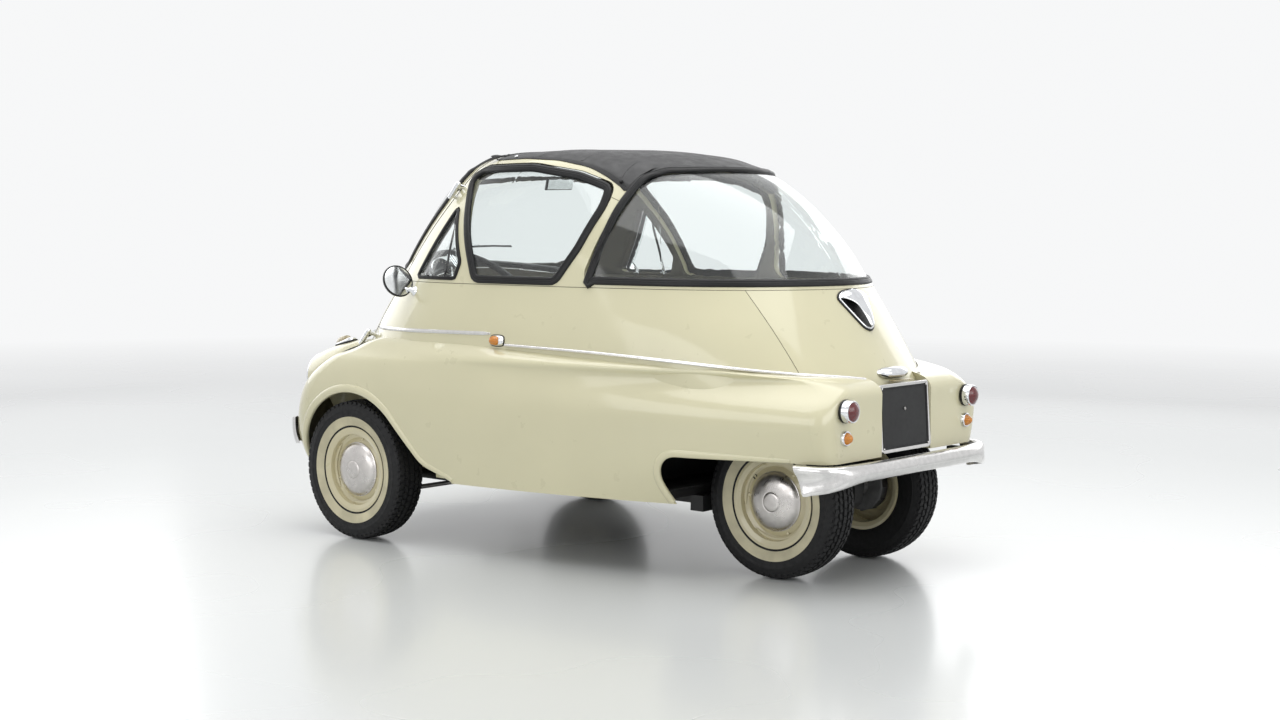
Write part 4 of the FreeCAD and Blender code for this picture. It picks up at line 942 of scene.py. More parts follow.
# ---------------------------------------------------------------- rolled edges of the wheel openings
LIP = [
    (-0.0150, -0.0035), (-0.0135, 0.0008), (-0.0090, 0.0038), (-0.0030, 0.0052), (0.0030, 0.0052),
    (0.0080, 0.0036), (0.0108, 0.0004), (0.0112, -0.0060), (0.0085, -0.0100), (0.0060, -0.0060),
    (-0.0080, -0.0065),
]
ARCH = [
    (-1.022, 0.100), (-1.022, 0.5105, 0.271), (-0.6289, 0.5105, 0.271), (-0.4255, 0.2846, 0.120),
    (-0.296, 0.238), (-0.294, 0.100),
]
REAR_CUT = [(0.575, 0.100), (0.500, 0.310, 0.09), (0.505, 0.388, 0.06), (0.930, 0.388), (0.930, 0.100)]
SILL = 0.2355


def open_outline(corners, step=0.01):
    """The part of a closed outline that lies above the sill."""
    dense = even([Vector((p.x, p.y, 0)) for p in rounded(corners, step=step, share=0.76)], 0.004, True)
    flat = [p for p in dense if p.y > SILL and p.x < 0.9295]
    return even(flat, step)


def lip(shape, corners, outward, scales):
    line = open_outline(corners)
    rays = []
    for k, p in enumerate(line):
        a, b = line[max(k - 1, 0)], line[min(k + 1, len(line) - 1)]
        along = (b - a).normalized()
        out = Vector((-along.y, along.x, 0)) * outward
        rays.append(((1.5, p.x + out.x, p.y + out.y), (-1, 0, 0)))
    points, normals = cast_line(SIDE, rays)
    points = spline(points[::2] + [points[-1]], 0.01)
    sizes = [scales(k / (len(points) - 1)) for k in range(len(points))]
    shape.sweep(points, LIP, near_normals(points, SIDE, Vector((0, 0, 0.4))), scales=sizes)


lips = Shape()
lip(lips, ARCH, 0.0065, lambda t: 1.15 if t < 0.55 else 1.15 - (t - 0.55) * 1.2)
lip(lips, REAR_CUT, 0.0055, lambda t: 0.95 if t < 0.45 else 0.95 - (t - 0.45) * 0.9)
lips.mirrored().build("opening_lips", "ivory_paint", sharp=60)


# ---------------------------------------------------------------- lamps at the back and sides
def skin_back(x, z):
    return cast(SHELL, (x, 3, z), (0, -1, 0))


def tail_lamps():
    bases, glasses, ambers, gaskets = Shape(), Shape(), Shape(), Shape()
    for x, z, y, r in ((0.344, 0.542, 1.083, 0.0338), (0.343, 0.462, 1.070, 0.0228)):
        foot = Vector((x, y - 0.036, z))
        out = (0, 1, 0)
        big = r > 0.03
        gaskets.turn(
            [(0.0, 0.0), (0.0, r + 0.0012), (0.0075, r + 0.0016), (0.0090, r + 0.0004), (0.0090, 0.0)], foot,
            out, 48
        )
        bases.turn(
            [(0.008, r * 0.7), (0.008, r + 0.0008), (0.020, r + 0.0002),
             (0.030 if big else 0.0225, r - 0.0006),
             (0.0318 if big else 0.0240, r - 0.0022), (0.0310 if big else 0.0232, r - 0.0048),
             (0.020, r - 0.0052)],
            foot, out, 64, closed=True,
        )
        shape = glasses if big else ambers
        rim, crown = (0.0300, 0.0425) if big else (0.0212, 0.0400)
        rings = 8
        dome = [
            (rim + (crown - rim) * (1 - (k / rings) ** 2.4), (r - 0.0044) * k / rings)
            for k in range(rings + 1)
        ]
        shape.turn([(0.010, 0.0), (0.010, dome[-1][1]), *reversed(dome)], foot, out, 48)
    bases.mirrored().build("tail_lamp_rims", "bright_chrome")
    gaskets.mirrored().build("tail_lamp_gaskets", "seal_rubber")
    ambers.mirrored().build("turn_lenses", "amber_lens")
    made = glasses.mirrored().build("tail_lenses", "red_lens")
    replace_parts(made, "tail_lamps")
    screws = Shape()
    for turn in (200, 185):
        t = math.radians(turn)
        spot = Vector((0.344 + math.cos(t) * 0.0340, 1.0665, 0.542 + math.sin(t) * 0.0340))
        screws.ball(spot, 0.0026, (math.cos(t), 0, math.sin(t)), 10, 0.5)
    screws.mirrored().build("tail_lamp_slots", "seal_rubber")


tail_lamps()


def oval_lamp(name, spot, normal, along, sizes, lens_material):
    """A long chrome base with a domed lens at its front end: sizes are length, width, height."""
    length, width, height = sizes
    normal = normal.normalized()
    along = (Vector(along) - normal * Vector(along).dot(normal)).normalized()
    beside = normal.cross(along)
    place = Matrix((along, beside, normal)).transposed().to_4x4()
    place.translation = spot

    def dome(shape, start, end, wide, tall, flat, sink=0.004):
        rows = []
        for k in range(15):
            t = k / 14
            s = start + (end - start) * (0.5 - 0.5 * math.cos(math.pi * t))
            r = (1 - abs(2 * t - 1) ** flat) ** (1 / flat)
            r = max(r, 0.02)
            rows.append([
                place @ Vector(
                    (
                        s, math.cos(a) * wide / 2 * r,
                        math.sin(a) * tall * r - sink * (1 if math.sin(a) < 0.01 else 0)
                    )
                )
                for a in [math.pi * j / 14 for j in range(15)]
            ])
        shape.grid(rows, wrap_columns=True, caps=True)

    pad = Shape()
    dome(pad, -length / 2 - 0.0022, length / 2 + 0.0022, width + 0.0044, height * 0.28, 2.15)
    pad.build(name + "_gasket", "seal_rubber")
    base = Shape()
    dome(base, -length / 2, length / 2, width, height * 0.62, 2.15)
    base.build(name + "_base", "bright_chrome")
    cover = Shape()
    dome(cover, -length * 0.47, length * 0.27, width * 0.90, height, 2.1)
    return cover.build(name + "_lens", lens_material)


for sign, side in ((1, "left"), (-1, "right")):
    spot, normal = on_side(-0.120, 0.707)
    spot.x *= sign
    normal.x *= sign
    lamp_piece = oval_lamp(
        f"side_lamp_{side}", spot, normal, (0, 1, 0), (0.056, 0.036, 0.021), "amber_lens"
    )
    if sign > 0:
        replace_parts(lamp_piece, "marker_lamps")

PODS = skin_tree("nacelles")
for sign, side in ((1, "left"), (-1, "right")):
    spot, normal = cast(PODS, (0.488, -0.965, 1.5), (0, 0, -1))
    if sign < 0:
        spot, normal = flip(spot), flip(normal)
    oval_lamp(
        f"front_lamp_{side}", spot, normal, (0.05 * sign, 1, 0), (0.098, 0.040, 0.027), "pale_lens"
    )

# ---------------------------------------------------------------- headlamps
LAMP = Vector((0.480, -1.085, 0.533))
LAMP_R = 0.082
bowls, rims, fronts, bulbs = Shape(), Shape(), Shape(), Shape()
FORE = (0, -1, 0)
rims.turn(
    [(-0.004, LAMP_R - 0.004), (-0.004, LAMP_R + 0.0018), (0.004, LAMP_R + 0.0022), (0.010, LAMP_R + 0.0002),
     (0.0150, LAMP_R - 0.0048), (0.0165, LAMP_R - 0.0085), (0.0152, LAMP_R - 0.0112),
     (0.0120, LAMP_R - 0.0108)],
    LAMP, FORE, 80, closed=True,
)
bowls.turn(
    [
        (0.0, 0.0), (0.0010, 0.02), (0.004, 0.045), (0.010, 0.066), (0.0115, 0.0705), (0.0085, 0.0712),
        (-0.003, 0.071), (-0.003, 0.0)
    ],
    LAMP, FORE, 64
)
bulbs.ball(LAMP + Vector((0, -0.010, 0)), 0.011, FORE, 18)
DOME_R, DOME_H = 0.0708, 0.0165


def lens_point(r, turn, thick):
    x, z = math.cos(turn) * r, math.sin(turn) * r
    flute = 0.0006 * math.cos(x / 0.0075 * 2 * math.pi) if r < 0.062 and thick == 0 else 0.0
    rise = 0.0138 + (DOME_H - 0.004) * (1 - (r / DOME_R) ** 2) - thick + flute
    return LAMP + Vector((x, -rise, z))


outer = [[lens_point(DOME_R * k / 30, 2 * math.pi * j / 72, 0) for j in range(72)] for k in range(1, 31)]
inner = [
    [lens_point(DOME_R * k / 30, 2 * math.pi * j / 72, 0.0035) for j in range(72)] for k in range(30, 0, -1)
]
fronts.grid(outer + inner, wrap_columns=True)
for ring, pole in ((outer[0], lens_point(0, 0, 0)), (inner[-1], lens_point(0, 0, 0.0035))):
    fronts.take([*ring, pole], [(j, (j + 1) % 72, 72) for j in range(72)])
rims.mirrored().build("headlamp_rims", "bright_chrome")
bowls.mirrored().build("headlamp_reflectors", "bright_chrome")
bulbs.mirrored().build("headlamp_bulbs", "pale_lens")
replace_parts(fronts.mirrored().build("headlamp_glasses", "lamp_glass"), "headlamps")

# the piping between each lamp pod and its wing
PIPING = [(-0.788, 0.669), (-0.840, 0.653), (-0.918, 0.621), (-0.982, 0.579), (-1.025, 0.534)]
piping = Shape()
line = spline([(0, y, z) for y, z in PIPING], 0.012)
PODS_AND_WING = skin_tree("nacelles", "side_body_left")
points, _ = cast_line(PODS_AND_WING, from_left([(p.y, p.z) for p in line]), 0.0022)
for _ in range(10):
    points = [points[0]] + [
        (a + b * 2 + c) / 4 for a, b, c in zip(points, points[1:], points[2:])
    ] + [points[-1]]
piping.tube(spline(points, 0.01), 0.0042, steps=10)
piping.mirrored().build("pod_piping", "seal_rubber")

# ---------------------------------------------------------------- rear bumper
BUMPER_TOP = 0.388
BAR_R = 0.028
PLAN = [
    (0.464, 0.950), (0.463, 0.985), (0.456, 1.026), (0.436, 1.060), (0.398, 1.084), (0.344, 1.098),
    (0.288, 1.1055), (0.235, 1.1085), (0.12, 1.1085), (0.0, 1.1085),
]
BLADE = [
    # outwards and down from the top edge
    (-0.012, -0.0035), (-0.004, 0.0), (0.004, -0.002), (0.0088, -0.008), (0.0098, -0.016), (0.0072, -0.025),
    (0.0030, -0.034), (0.0012, -0.048), (0.0024, -0.064), (0.0056, -0.078), (0.0066, -0.086),
    (0.0052, -0.0900),
    (0.0028, -0.0885), (0.0016, -0.078), (-0.0014, -0.062), (-0.0028, -0.046), (-0.0010, -0.034),
    (0.0010, -0.024),
    (0.0030, -0.016), (0.0010, -0.0085), (-0.0040, -0.0060), (-0.012, -0.0070),
]
ROUND = []
for k in range(len(BLADE)):
    turn = math.radians(130) - 2 * math.pi * k / len(BLADE)
    ROUND.append((math.cos(turn) * BAR_R - BAR_R + 0.0075, math.sin(turn) * BAR_R - BAR_R))
plan = spline([(x, y, 0) for x, y in PLAN], 0.007)
rows = []
for k, p in enumerate(plan):
    a, b = plan[max(k - 1, 0)], plan[min(k + 1, len(plan) - 1)]
    along = (b - a).normalized()
    out = Vector((-along.y, along.x, 0))
    if out.dot(Vector((p.x, 0.4, 0))) < 0:
        out = -out
    w = min(1.0, k * 0.007 / 0.285)
    w = w * w * (3 - 2 * w)
    lean = max(0.0, 1 - k / 9)
    row = []
    for (o1, d1), (o2, d2) in zip(BLADE, ROUND):
        o, d = o1 + (o2 - o1) * w, d1 + (d2 - d1) * w
        row.append(p + out * o + UP * (BUMPER_TOP + d) + along * (-d * 0.42 * lean))
    rows.append(row)
other = [[flip(q) for q in row] for row in reversed(rows[:-1])]
bumper = Shape().grid(rows + other, wrap_columns=True, caps=True).build(
    "rear_bumper_blade", "polished_aluminium", sharp=50
)
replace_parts(bumper, "rear_bumper")
irons = Shape()
for x in (0.295, -0.295):
    irons.box((x - 0.016, 1.020, 0.348), (x + 0.016, 1.088, 0.382), 0.003)
    irons.turn(
        [(0, 0), (0, 0.010), (0.005, 0.0095), (0.007, 0.007), (0.007, 0)], (x, 1.0835, 0.366), (0, 1, 0), 6
    )
irons.build("bumper_irons", "chassis_black")

# ---------------------------------------------------------------- number plate, its frame and its lamp
PLATE_LOW = Vector((0, 1.0445, 0.400))
PLATE_UP = Vector((0, -0.013, 0.200))
plate_normal = Vector((1, 0, 0)).cross(PLATE_UP).normalized()
plate_normal = plate_normal if plate_normal.y > 0 else -plate_normal


def on_plate(x, share, lift):
    return PLATE_LOW + PLATE_UP * share + Vector((x, 0, 0)) + plate_normal * lift


def plate_loop(inset_x, inset_z, radius, lift):
    w, h = 0.1375 - inset_x, 0.2004
    flat = rounded(
        [(-w, inset_z, radius), (w, inset_z, radius), (w, h - inset_z, radius), (-w, h - inset_z, radius)],
        step=0.003
    )
    return [on_plate(p.x, p.y / h, lift) for p in flat]


border = Shape().sweep(
    plate_loop(0.0115, 0.0115, 0.008, 0.0003),
    [(-0.0018, -0.0006), (-0.0010, 0.0010), (0.0010, 0.0010), (0.0018, -0.0006)], [plate_normal] * 400,
    closed=True
)
border.build("plate_bead", "plate_black")
frame_shape = Shape().sweep(
    plate_loop(0.0012, 0.0012, 0.010, 0.0),
    [
        (-0.0052, -0.0035), (-0.0052, 0.0012), (-0.0030, 0.0030), (0.0018, 0.0030), (0.0048, 0.0014),
        (0.0048, -0.0035)
    ],
    [plate_normal] * 400, closed=True,
)
for sx in (-1, 1):
    for share in (0.045, 0.955):
        spot = on_plate(sx * 0.126, share, 0.0030)
        frame_shape.ball(spot, 0.0036, plate_normal, 12, 0.45)
frame_shape.build("plate_frame", "polished_aluminium")
bolt = Shape().turn(
    [(0, 0), (0, 0.0052), (0.0026, 0.0050), (0.0036, 0.0036), (0.0036, 0.0)], on_plate(0, 0.62, 0.0),
    plate_normal, 18
)
bolt.build("plate_bolt", "steel")

hood = Shape()
hood_rows = []
for k in range(29):
    t = -1 + 2 * k / 28
    x = 0.075 * math.sin(t * math.pi / 2)
    w = max(0.02, (1 - abs(math.sin(t * math.pi / 2)) ** 3.2) ** (1 / 2.0))
    ring = []
    for j in range(17):
        a = math.radians(-58 + 196 * j / 16)
        ring.append((x, math.cos(a) * 0.0330 * w, math.sin(a) * 0.0195 * w))
    found = skin_back(min(0.0745, max(-0.0745, x)), 0.634)
    y = found[0].y if found else 1.02
    hood_rows.append([Vector((a, max(y + b + 0.003, y - 0.004), 0.632 + c)) for a, b, c in ring])
hood.grid(hood_rows, wrap_columns=True, caps=True)
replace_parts(hood.build("plate_lamp_hood", "bright_chrome", sharp=60), "plate_lamp")
pane = Shape().box((-0.052, 1.012, 0.6085), (0.052, 1.032, 0.6125), 0.0015)
pane.build("plate_lamp_glass", "pale_lens")

# ---------------------------------------------------------------- air scoop
SCOOP_LOW, SCOOP_HIGH = 0.7585, 0.8800


def scoop_half(z):
    """The scoop's half width at a height."""
    t = (z - SCOOP_LOW) / (SCOOP_HIGH - SCOOP_LOW)
    body_w = 0.017 + 0.062 * min(1.0, t / 0.80) ** 0.85
    top = 1.0 if t < 0.72 else math.sqrt(max(0.0, 1 - ((t - 0.72) / 0.28) ** 2.3))
    low = 1.0 if t > 0.10 else math.sqrt(max(0.0, 1 - ((0.10 - t) / 0.10) ** 2))
    return max(0.0015, body_w * top * low)


def scoop_at(x, z, lift):
    point, normal = skin_back(x, z)
    return point + normal * lift


scoop_outline = [(scoop_half(z), z) for z in steps(SCOOP_LOW, SCOOP_HIGH, 34)]
loop = scoop_outline + [(-x, z) for x, z in reversed(scoop_outline)]
rim_line = spline([scoop_at(x, z, 0.0022) for x, z in loop], 0.006, True)
rim_normals = near_normals(rim_line, SHELL, Vector((0, 0.2, 0.6)))
Shape().sweep(
    rim_line, circle(0.0046, 10, 0.7), rim_normals, closed=True
).build("scoop_gasket", "seal_rubber")
inner_line = spline(
    [scoop_at(x * 0.955, SCOOP_LOW + 0.003 + (z - SCOOP_LOW) * 0.955, 0.0050) for x, z in loop], 0.006, True
)
Shape().sweep(
    inner_line, circle(0.0032, 10), near_normals(inner_line, SHELL, Vector((0, 0.2, 0.6))), closed=True
).build(
    "scoop_rim", "bright_chrome"
)
# the spine's rows, and a flat black sheet just above the skin under it: painted shade for the scoop's open
# mouth
rows, mouth_shade_rows = [], []
for z in steps(SCOOP_LOW + 0.004, SCOOP_HIGH - 0.004, 30):
    t = (z - SCOOP_LOW) / (SCOOP_HIGH - SCOOP_LOW)
    reach = 1.0 if t > 0.80 else 0.50 + 0.50 * max(0.0, (t - 0.50) / 0.30) ** 2
    rise = 0.0265 * math.sin(math.pi * min(1.0, max(0.0, 0.12 + 0.88 * t)) * 0.93) ** 0.6
    half_w = scoop_half(z) * 0.95
    rows.append(
        [
            scoop_at(
                u * half_w * reach, z,
                0.0045 + rise * math.sqrt(max(0.0, 1 - (u * (0.35 + 0.65 * reach)) ** 2))
            )
            for u in steps(-1, 1, 19)
        ]
    )
    mouth_shade_rows.append([scoop_at(u * half_w, z, 0.0016) for u in steps(-1, 1, 9)])
scoop = Shape().grid(rows).build("scoop_spine", "bright_chrome", sharp=70)
give_thickness(scoop, "sheet", 0.0018, -1)
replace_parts(scoop, "air_scoop")
# the black sheet in seal rubber is painted shade in the scoop's mouth
mouth_shade_sheet = Shape().grid(mouth_shade_rows).build("scoop_mouth_shade", "seal_rubber")
give_thickness(mouth_shade_sheet, "sheet", 0.0016, -1)


# ---------------------------------------------------------------- mirrors on the wings
MIRROR = Vector((0.606, -0.576, 0.884))
AHEAD = Vector((0, -1, 0))
GLASS_WAY = Vector((-0.22, -0.91, -0.35)).normalized()
shells, faces, arms = Shape(), Shape(), Shape()
shells.turn(
    [(-0.0062, 0.0), (-0.0062, 0.0500), (-0.0085, 0.0506), (-0.0092, 0.0522), (-0.0080, 0.0538),
     (-0.0030, 0.0542),
     (0.0040, 0.0520), (0.0100, 0.0460), (0.0150, 0.0350), (0.0180, 0.0210), (0.0190, 0.0085), (0.0192, 0.0)],
    MIRROR, GLASS_WAY, 72,
)
faces.turn(
    [(-0.0078, 0.0), (-0.0078, 0.0512), (-0.0090, 0.0512), (-0.0112, 0.030), (-0.0120, 0.0)], MIRROR,
    GLASS_WAY, 72
)
Shape().turn(
    [
        (-0.0100, 0.0505), (-0.0110, 0.0525), (-0.0095, 0.0548), (-0.0050, 0.0556), (-0.0030, 0.0545),
        (-0.0070, 0.0520)
    ],
    MIRROR, GLASS_WAY, 72, closed=True,
).mirrored().build("mirror_edges", "seal_rubber")
foot, foot_normal = on_side(-0.538, 0.852)
behind = MIRROR + GLASS_WAY * 0.022
arms.ball(behind, 0.0085, AHEAD, 18)
arms.turn(
    [(-0.003, 0.0), (-0.003, 0.0165), (0.002, 0.0170), (0.0050, 0.0150), (0.011, 0.0098), (0.021, 0.0078),
     (0.0235, 0.0060),
     (0.024, 0.0)],
    foot, foot_normal, 36,
)
knee = foot + foot_normal * 0.020
arms.tube(
    spline([knee, knee + Vector((0.012, -0.016, 0.004)), Vector((0.602, -0.588, 0.866)), behind], 0.006),
    0.0046, steps=12
)
shells = shells.mirrored().build("mirror_shells", "bright_chrome")
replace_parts(shells, "mirrors")
faces.mirrored().build("mirror_glasses", "mirror_face")
arms.mirrored().build("mirror_arms", "bright_chrome")


# ---------------------------------------------------------------- wiper, door handle and hinge ends
def on_door(x, z, lift=0.0, tree=DOOR):
    return cast(tree, (x, -3, z), (0, 1, 0), lift)


spindle, screen_normal = on_door(0.275, 0.922, 0.004)
metal, blades = Shape(), Shape()
metal.turn(
    [(-0.012, 0.0), (-0.012, 0.0125), (0.001, 0.0125), (0.003, 0.0110), (0.009, 0.0085), (0.014, 0.0070),
     (0.017, 0.0035),
     (0.0175, 0.0)],
    spindle, screen_normal, 28,
)
arm_line = [
    on_door(x, z, 0.0135)[0]
    for x, z in ((0.275, 0.924), (0.19, 0.948), (0.10, 0.968), (0.0, 0.984), (-0.085, 0.990))
]
metal.sweep(
    spline(arm_line, 0.008), [(-0.0042, -0.001), (-0.0036, 0.0014), (0.0036, 0.0014), (0.0042, -0.001)],
    [screen_normal] * 200,
)
blade_line = spline(
    [on_door(x, z, 0.0105)[0] for x, z in ((0.045, 0.984), (-0.045, 0.988), (-0.13, 0.990), (-0.215, 0.989))],
    0.008
)
blade_normals = near_normals(blade_line, DOOR, Vector((0, -0.3, 0.9)))
metal.sweep(blade_line, [(-0.0030, 0.0), (-0.0022, 0.0026), (0.0022, 0.0026), (0.0030, 0.0)], blade_normals)
blades.sweep(
    blade_line,
    [
        (-0.0024, 0.0002), (-0.0009, -0.0030), (-0.0006, -0.0085), (0.0006, -0.0085), (0.0009, -0.0030),
        (0.0024, 0.0002)
    ],
    blade_normals,
)
metal.build("wiper_arm", "bright_chrome", "door")
blades.build("wiper_blade", "seal_rubber", "door")

handle = Shape()
grip, grip_normal = on_door(-0.425, 0.800)
beside = Vector((1, 0, 0)) - grip_normal * grip_normal.x
beside.normalize()
handle.turn(
    [(-0.002, 0.0), (-0.002, 0.021), (0.002, 0.0215), (0.006, 0.018), (0.012, 0.0125), (0.024, 0.0105),
     (0.030, 0.0115),
     (0.033, 0.009), (0.034, 0.0)],
    grip, grip_normal, 36,
)
lever = [
    grip + grip_normal * (0.028 - 0.006 * k / 8) + beside * (0.105 * k / 8 - 0.012) + Vector(
        (0, 0, -0.004 * k / 8)
    )
    for k in range(9)
]
handle.sweep(
    spline(lever, 0.006), circle(0.0082, 16, 0.62), [grip_normal] * 60,
    scales=[1.15 - 0.35 * min(1, k / 14) for k in range(60)],
)
handle.build("door_handle", "bright_chrome", "door")

HINGE_LOW = Vector((0.522, -0.841, 0.672))
HINGE_HIGH = Vector((0.464, -0.447, 1.190))
hinge_axis = (HINGE_HIGH - HINGE_LOW).normalized()
ends = Shape()
for centre in (HINGE_LOW + hinge_axis * 0.014, HINGE_HIGH):
    for sign in (-1, 1):
        ends.turn(
            [
                (0.0285, 0.0088), (0.0300, 0.0092), (0.0325, 0.0078), (0.0345, 0.0048), (0.0352, 0.0),
                (0.0285, 0.0)
            ],
            centre, hinge_axis * sign, 24,
        )
ends.build("hinge_ends", "bright_chrome")

# ---------------------------------------------------------------- vent bars and catches
bars, catches = Shape(), Shape()
line, _ = cast_line(
    SIDE_ALL, from_left([(-0.381 - 0.012 * t, 0.893 + 0.235 * t) for t in steps(0, 1, 12)]), -0.006
)
bars.tube(spline(line, 0.012), 0.0042, steps=10)
bars.mirrored().build("vent_bars", "seal_rubber")
for y, tall in ((-0.490, 0.014), (-0.366, 0.034)):
    found = cast(SIDE_ALL, (1.5, y, 0.906), (-1, 0, 0), -0.024)
    spot = found[0]
    catches.box(spot + Vector((-0.012, -0.013, -0.012)), spot + Vector((0.004, 0.013, -0.004)), 0.002)
    catches.turn(
        [(0, 0), (0, 0.0075), (0.004, 0.008), (0.008, 0.006), (0.0095, 0.0)],
        spot + Vector((-0.004, 0, -0.004)), (0, 0, 1), 20
    )
    catches.tube(
        spline(
            [
                spot + Vector((-0.004, 0.0, 0.0)), spot + Vector((-0.008, -0.004, tall * 0.6)),
                spot + Vector((-0.010, -0.010, tall))
            ],
            0.004
        ),
        0.0024, steps=8
    )
catches.mirrored().build("vent_catches", "bright_chrome")


# ---------------------------------------------------------------- linings inside the shell
def lining(name, node, body, material, keep, lift=0.0012, thick=0.0022):
    """A trim skin over the faces of a CAD piece that keep(middle, normal) picks."""
    mesh = NODES[node].data
    made = Shape()
    index = {}
    normals = {}
    chosen = [f for f in mesh.polygons if keep(f.center, f.normal)]
    for f in chosen:
        for v in f.vertices:
            normals[v] = normals.get(v, Vector()) + f.normal * f.area
    faces = []
    for f in chosen:
        for v in f.vertices:
            if v not in index:
                index[v] = len(made.points)
                made.points.append(mesh.vertices[v].co + normals[v].normalized() * lift)
        faces.append(tuple(index[v] for v in f.vertices))
    made.faces = faces
    piece = made.build(name, material, body, sharp=50)
    give_thickness(piece, "sheet", thick, 1)


def faces_in(height, reach=0.35):
    """Picks the faces that look towards the middle of the cabin, above a height."""
    def test(middle, normal):
        inwards = Vector((0, -0.15, 0.75)) - middle
        return middle.z > height and normal.dot(inwards.normalized()) > reach
    return test


lining("window_lining", "window_frames", "body", "trim_olive", faces_in(0.88, 0.45))
for side in ("left", "right"):
    lining(f"side_trim_{side}", f"side_body_{side}", "body", "trim_olive", faces_in(0.26, 0.45))
lining("door_lining", "front_door", "door", "trim_olive", faces_in(0.33, 0.45))
lining("floor_mat", "floor_pan", "body", "floor_rubber", lambda m, n: n.z > 0.9 and m.z < 0.30, 0.001, 0.006)
lining("shelf_cover", "floor_pan", "body", "trim_olive", lambda m, n: n.z > 0.9 and m.z > 0.60, 0.001, 0.004)

# ---------------------------------------------------------------- header rail and inside mirror
header = Shape()
rail = [
    Vector((x, -0.412 - 0.02 * (x / 0.4) ** 2, 1.2435 - 0.030 * (x / 0.4) ** 2))
    for x in steps(-0.40, 0.40, 24)
]
header.tube(spline(rail, 0.012), 0.0085, steps=14)
header.build("header_rail", "trim_olive")
glass_mirror = Shape()
GLASS_AT = Vector((0.0, -0.392, 1.222))
lean = Matrix.Translation(GLASS_AT) @ Matrix.Rotation(
    math.radians(-12), 4, "X"
) @ Matrix.Rotation(math.radians(8), 4, "Z")
glass_mirror.box((-0.080, -0.006, -0.023), (0.080, 0.004, 0.023), 0.0045, lean)
glass_mirror.build("inside_mirror_back", "black_plastic")
Shape().box(
    (-0.076, 0.0042, -0.0195), (0.076, 0.0058, 0.0195), 0.0007, lean
).build("inside_mirror_glass", "mirror_face")
Shape().tube(
    spline(
        [
            GLASS_AT + Vector((0, -0.006, 0)), GLASS_AT + Vector((0, -0.014, 0.010)),
            Vector((0, -0.412, 1.240))
        ],
        0.004
    ),
    0.0042, steps=10
).build(
    "inside_mirror_arm", "bright_chrome"
)


# ---------------------------------------------------------------- fabric roof
def roof_edge(y):
    """Half the roof's width at a station."""
    low, high = 0.0, 0.6
    if cast(ROOF, (low, y, 2), (0, 0, -1)) is None:
        return None
    for _ in range(18):
        middle = (low + high) / 2
        if cast(ROOF, (middle, y, 2), (0, 0, -1)) is None:
            high = middle
        else:
            low = middle
    return low


# the front edge, the back edge and the bows under the cloth, along the car; then the cut cloth
ROOF_FRONT, ROOF_BACK = -0.3312, 0.3965
ROOF_BOWS = (-0.10, 0.07, 0.22)
rows = []
for k in range(72):
    y = ROOF_FRONT + (ROOF_BACK - ROOF_FRONT) * math.sin(math.pi / 2 * k / 71) ** 1.15
    half = roof_edge(y)
    if half is None or half < 0.012:
        continue
    row = []
    for u in steps(-1, 1, 71):
        x = u * half * 0.9985
        point, normal = cast(ROOF, (x, y, 2), (0, 0, -1))
        edge = min(1.0, (1 - abs(u)) * 6, (y - ROOF_FRONT) / 0.05 + 0.15)
        bow = sum(math.exp(-(((y - b) / 0.028) ** 2)) for b in ROOF_BOWS)
        slack = 0.0016 * (0.35 - bow) * edge
        pull = 0.0007 * math.sin(34 * x + 9 * math.sin(7 * y)) * math.exp(-((y + 0.30) / 0.06) ** 2) * edge
        fold = 0.0008 * math.sin(52 * (y + 0.3 * abs(x))) * math.exp(-(((1 - abs(u)) - 0.16) / 0.12) ** 2)
        row.append(point + normal * (0.0012 - slack + pull + fold * edge))
    rows.append(row)
roof_sheet = Shape().grid(rows).build("roof_cloth", "roof_fabric", sharp=70)
give_thickness(roof_sheet, "cloth", 0.0014, -1)
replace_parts(roof_sheet, "fabric_roof")
hem = [row[-1] for row in rows] + [row[0] for row in reversed(rows)]
hem = [p for k, p in enumerate(hem) if (p - hem[k - 1]).length > 0.001]
hem_line = spline(hem[::2], 0.008, True)
hem_shape = Shape().sweep(
    hem_line, [(-0.0065, -0.0006), (-0.0058, 0.0008), (0.0, 0.0014), (0.0058, 0.0008), (0.0065, -0.0006)],
    near_normals(hem_line, ROOF, Vector((0, 0, 0.7))), closed=True,
)
hem_piece = hem_shape.build("roof_hem", "seal_rubber")
seams = Shape()
for y in ROOF_BOWS:
    half = roof_edge(y)
    line, normals = cast_line(ROOF, from_above(y, steps(-half * 0.97, half * 0.97, 60)), 0.0012)
    seams.sweep(line, [(-0.0050, 0.0), (-0.0046, 0.0010), (0.0046, 0.0010), (0.0050, 0.0)], smooth(normals))
line, normals = cast_line(ROOF, from_above(ROOF_FRONT + 0.0165, steps(-0.36, 0.36, 60)), 0.0022)
seams.sweep(line, [(-0.0110, 0.0), (-0.0104, 0.0018), (0.0104, 0.0018), (0.0110, 0.0)], smooth(normals))
seam_piece = seams.build("roof_seams", "roof_fabric")
for name, y, metal_ in (("roof_studs", -0.205, "bright_chrome"), ("roof_clips", 0.228, "seal_rubber")):
    half = roof_edge(y)
    spot, normal = cast(ROOF, (half * 0.985, y, 2), (0, 0, -1))
    stud = Shape().turn(
        [(0.0, 0.0), (0.0, 0.0058), (0.0030, 0.0062), (0.0058, 0.0044), (0.0068, 0.0)], spot + normal * 0.003,
        normal, 20
    )
    stud.mirrored().build(name, metal_)
bows = Shape()
for y in ROOF_BOWS:
    half = roof_edge(y)
    line, _ = cast_line(ROOF, from_above(y, steps(-half * 0.96, half * 0.96, 50)), -0.016)
    bows.tube(spline(line, 0.012), 0.0062, steps=12)
bows.build("roof_bows", "steel")


# ---------------------------------------------------------------- seat
def evaluated(piece):
    graph = bpy.context.evaluated_depsgraph_get()
    graph.update()
    return bpy.data.meshes.new_from_object(piece.evaluated_get(graph))


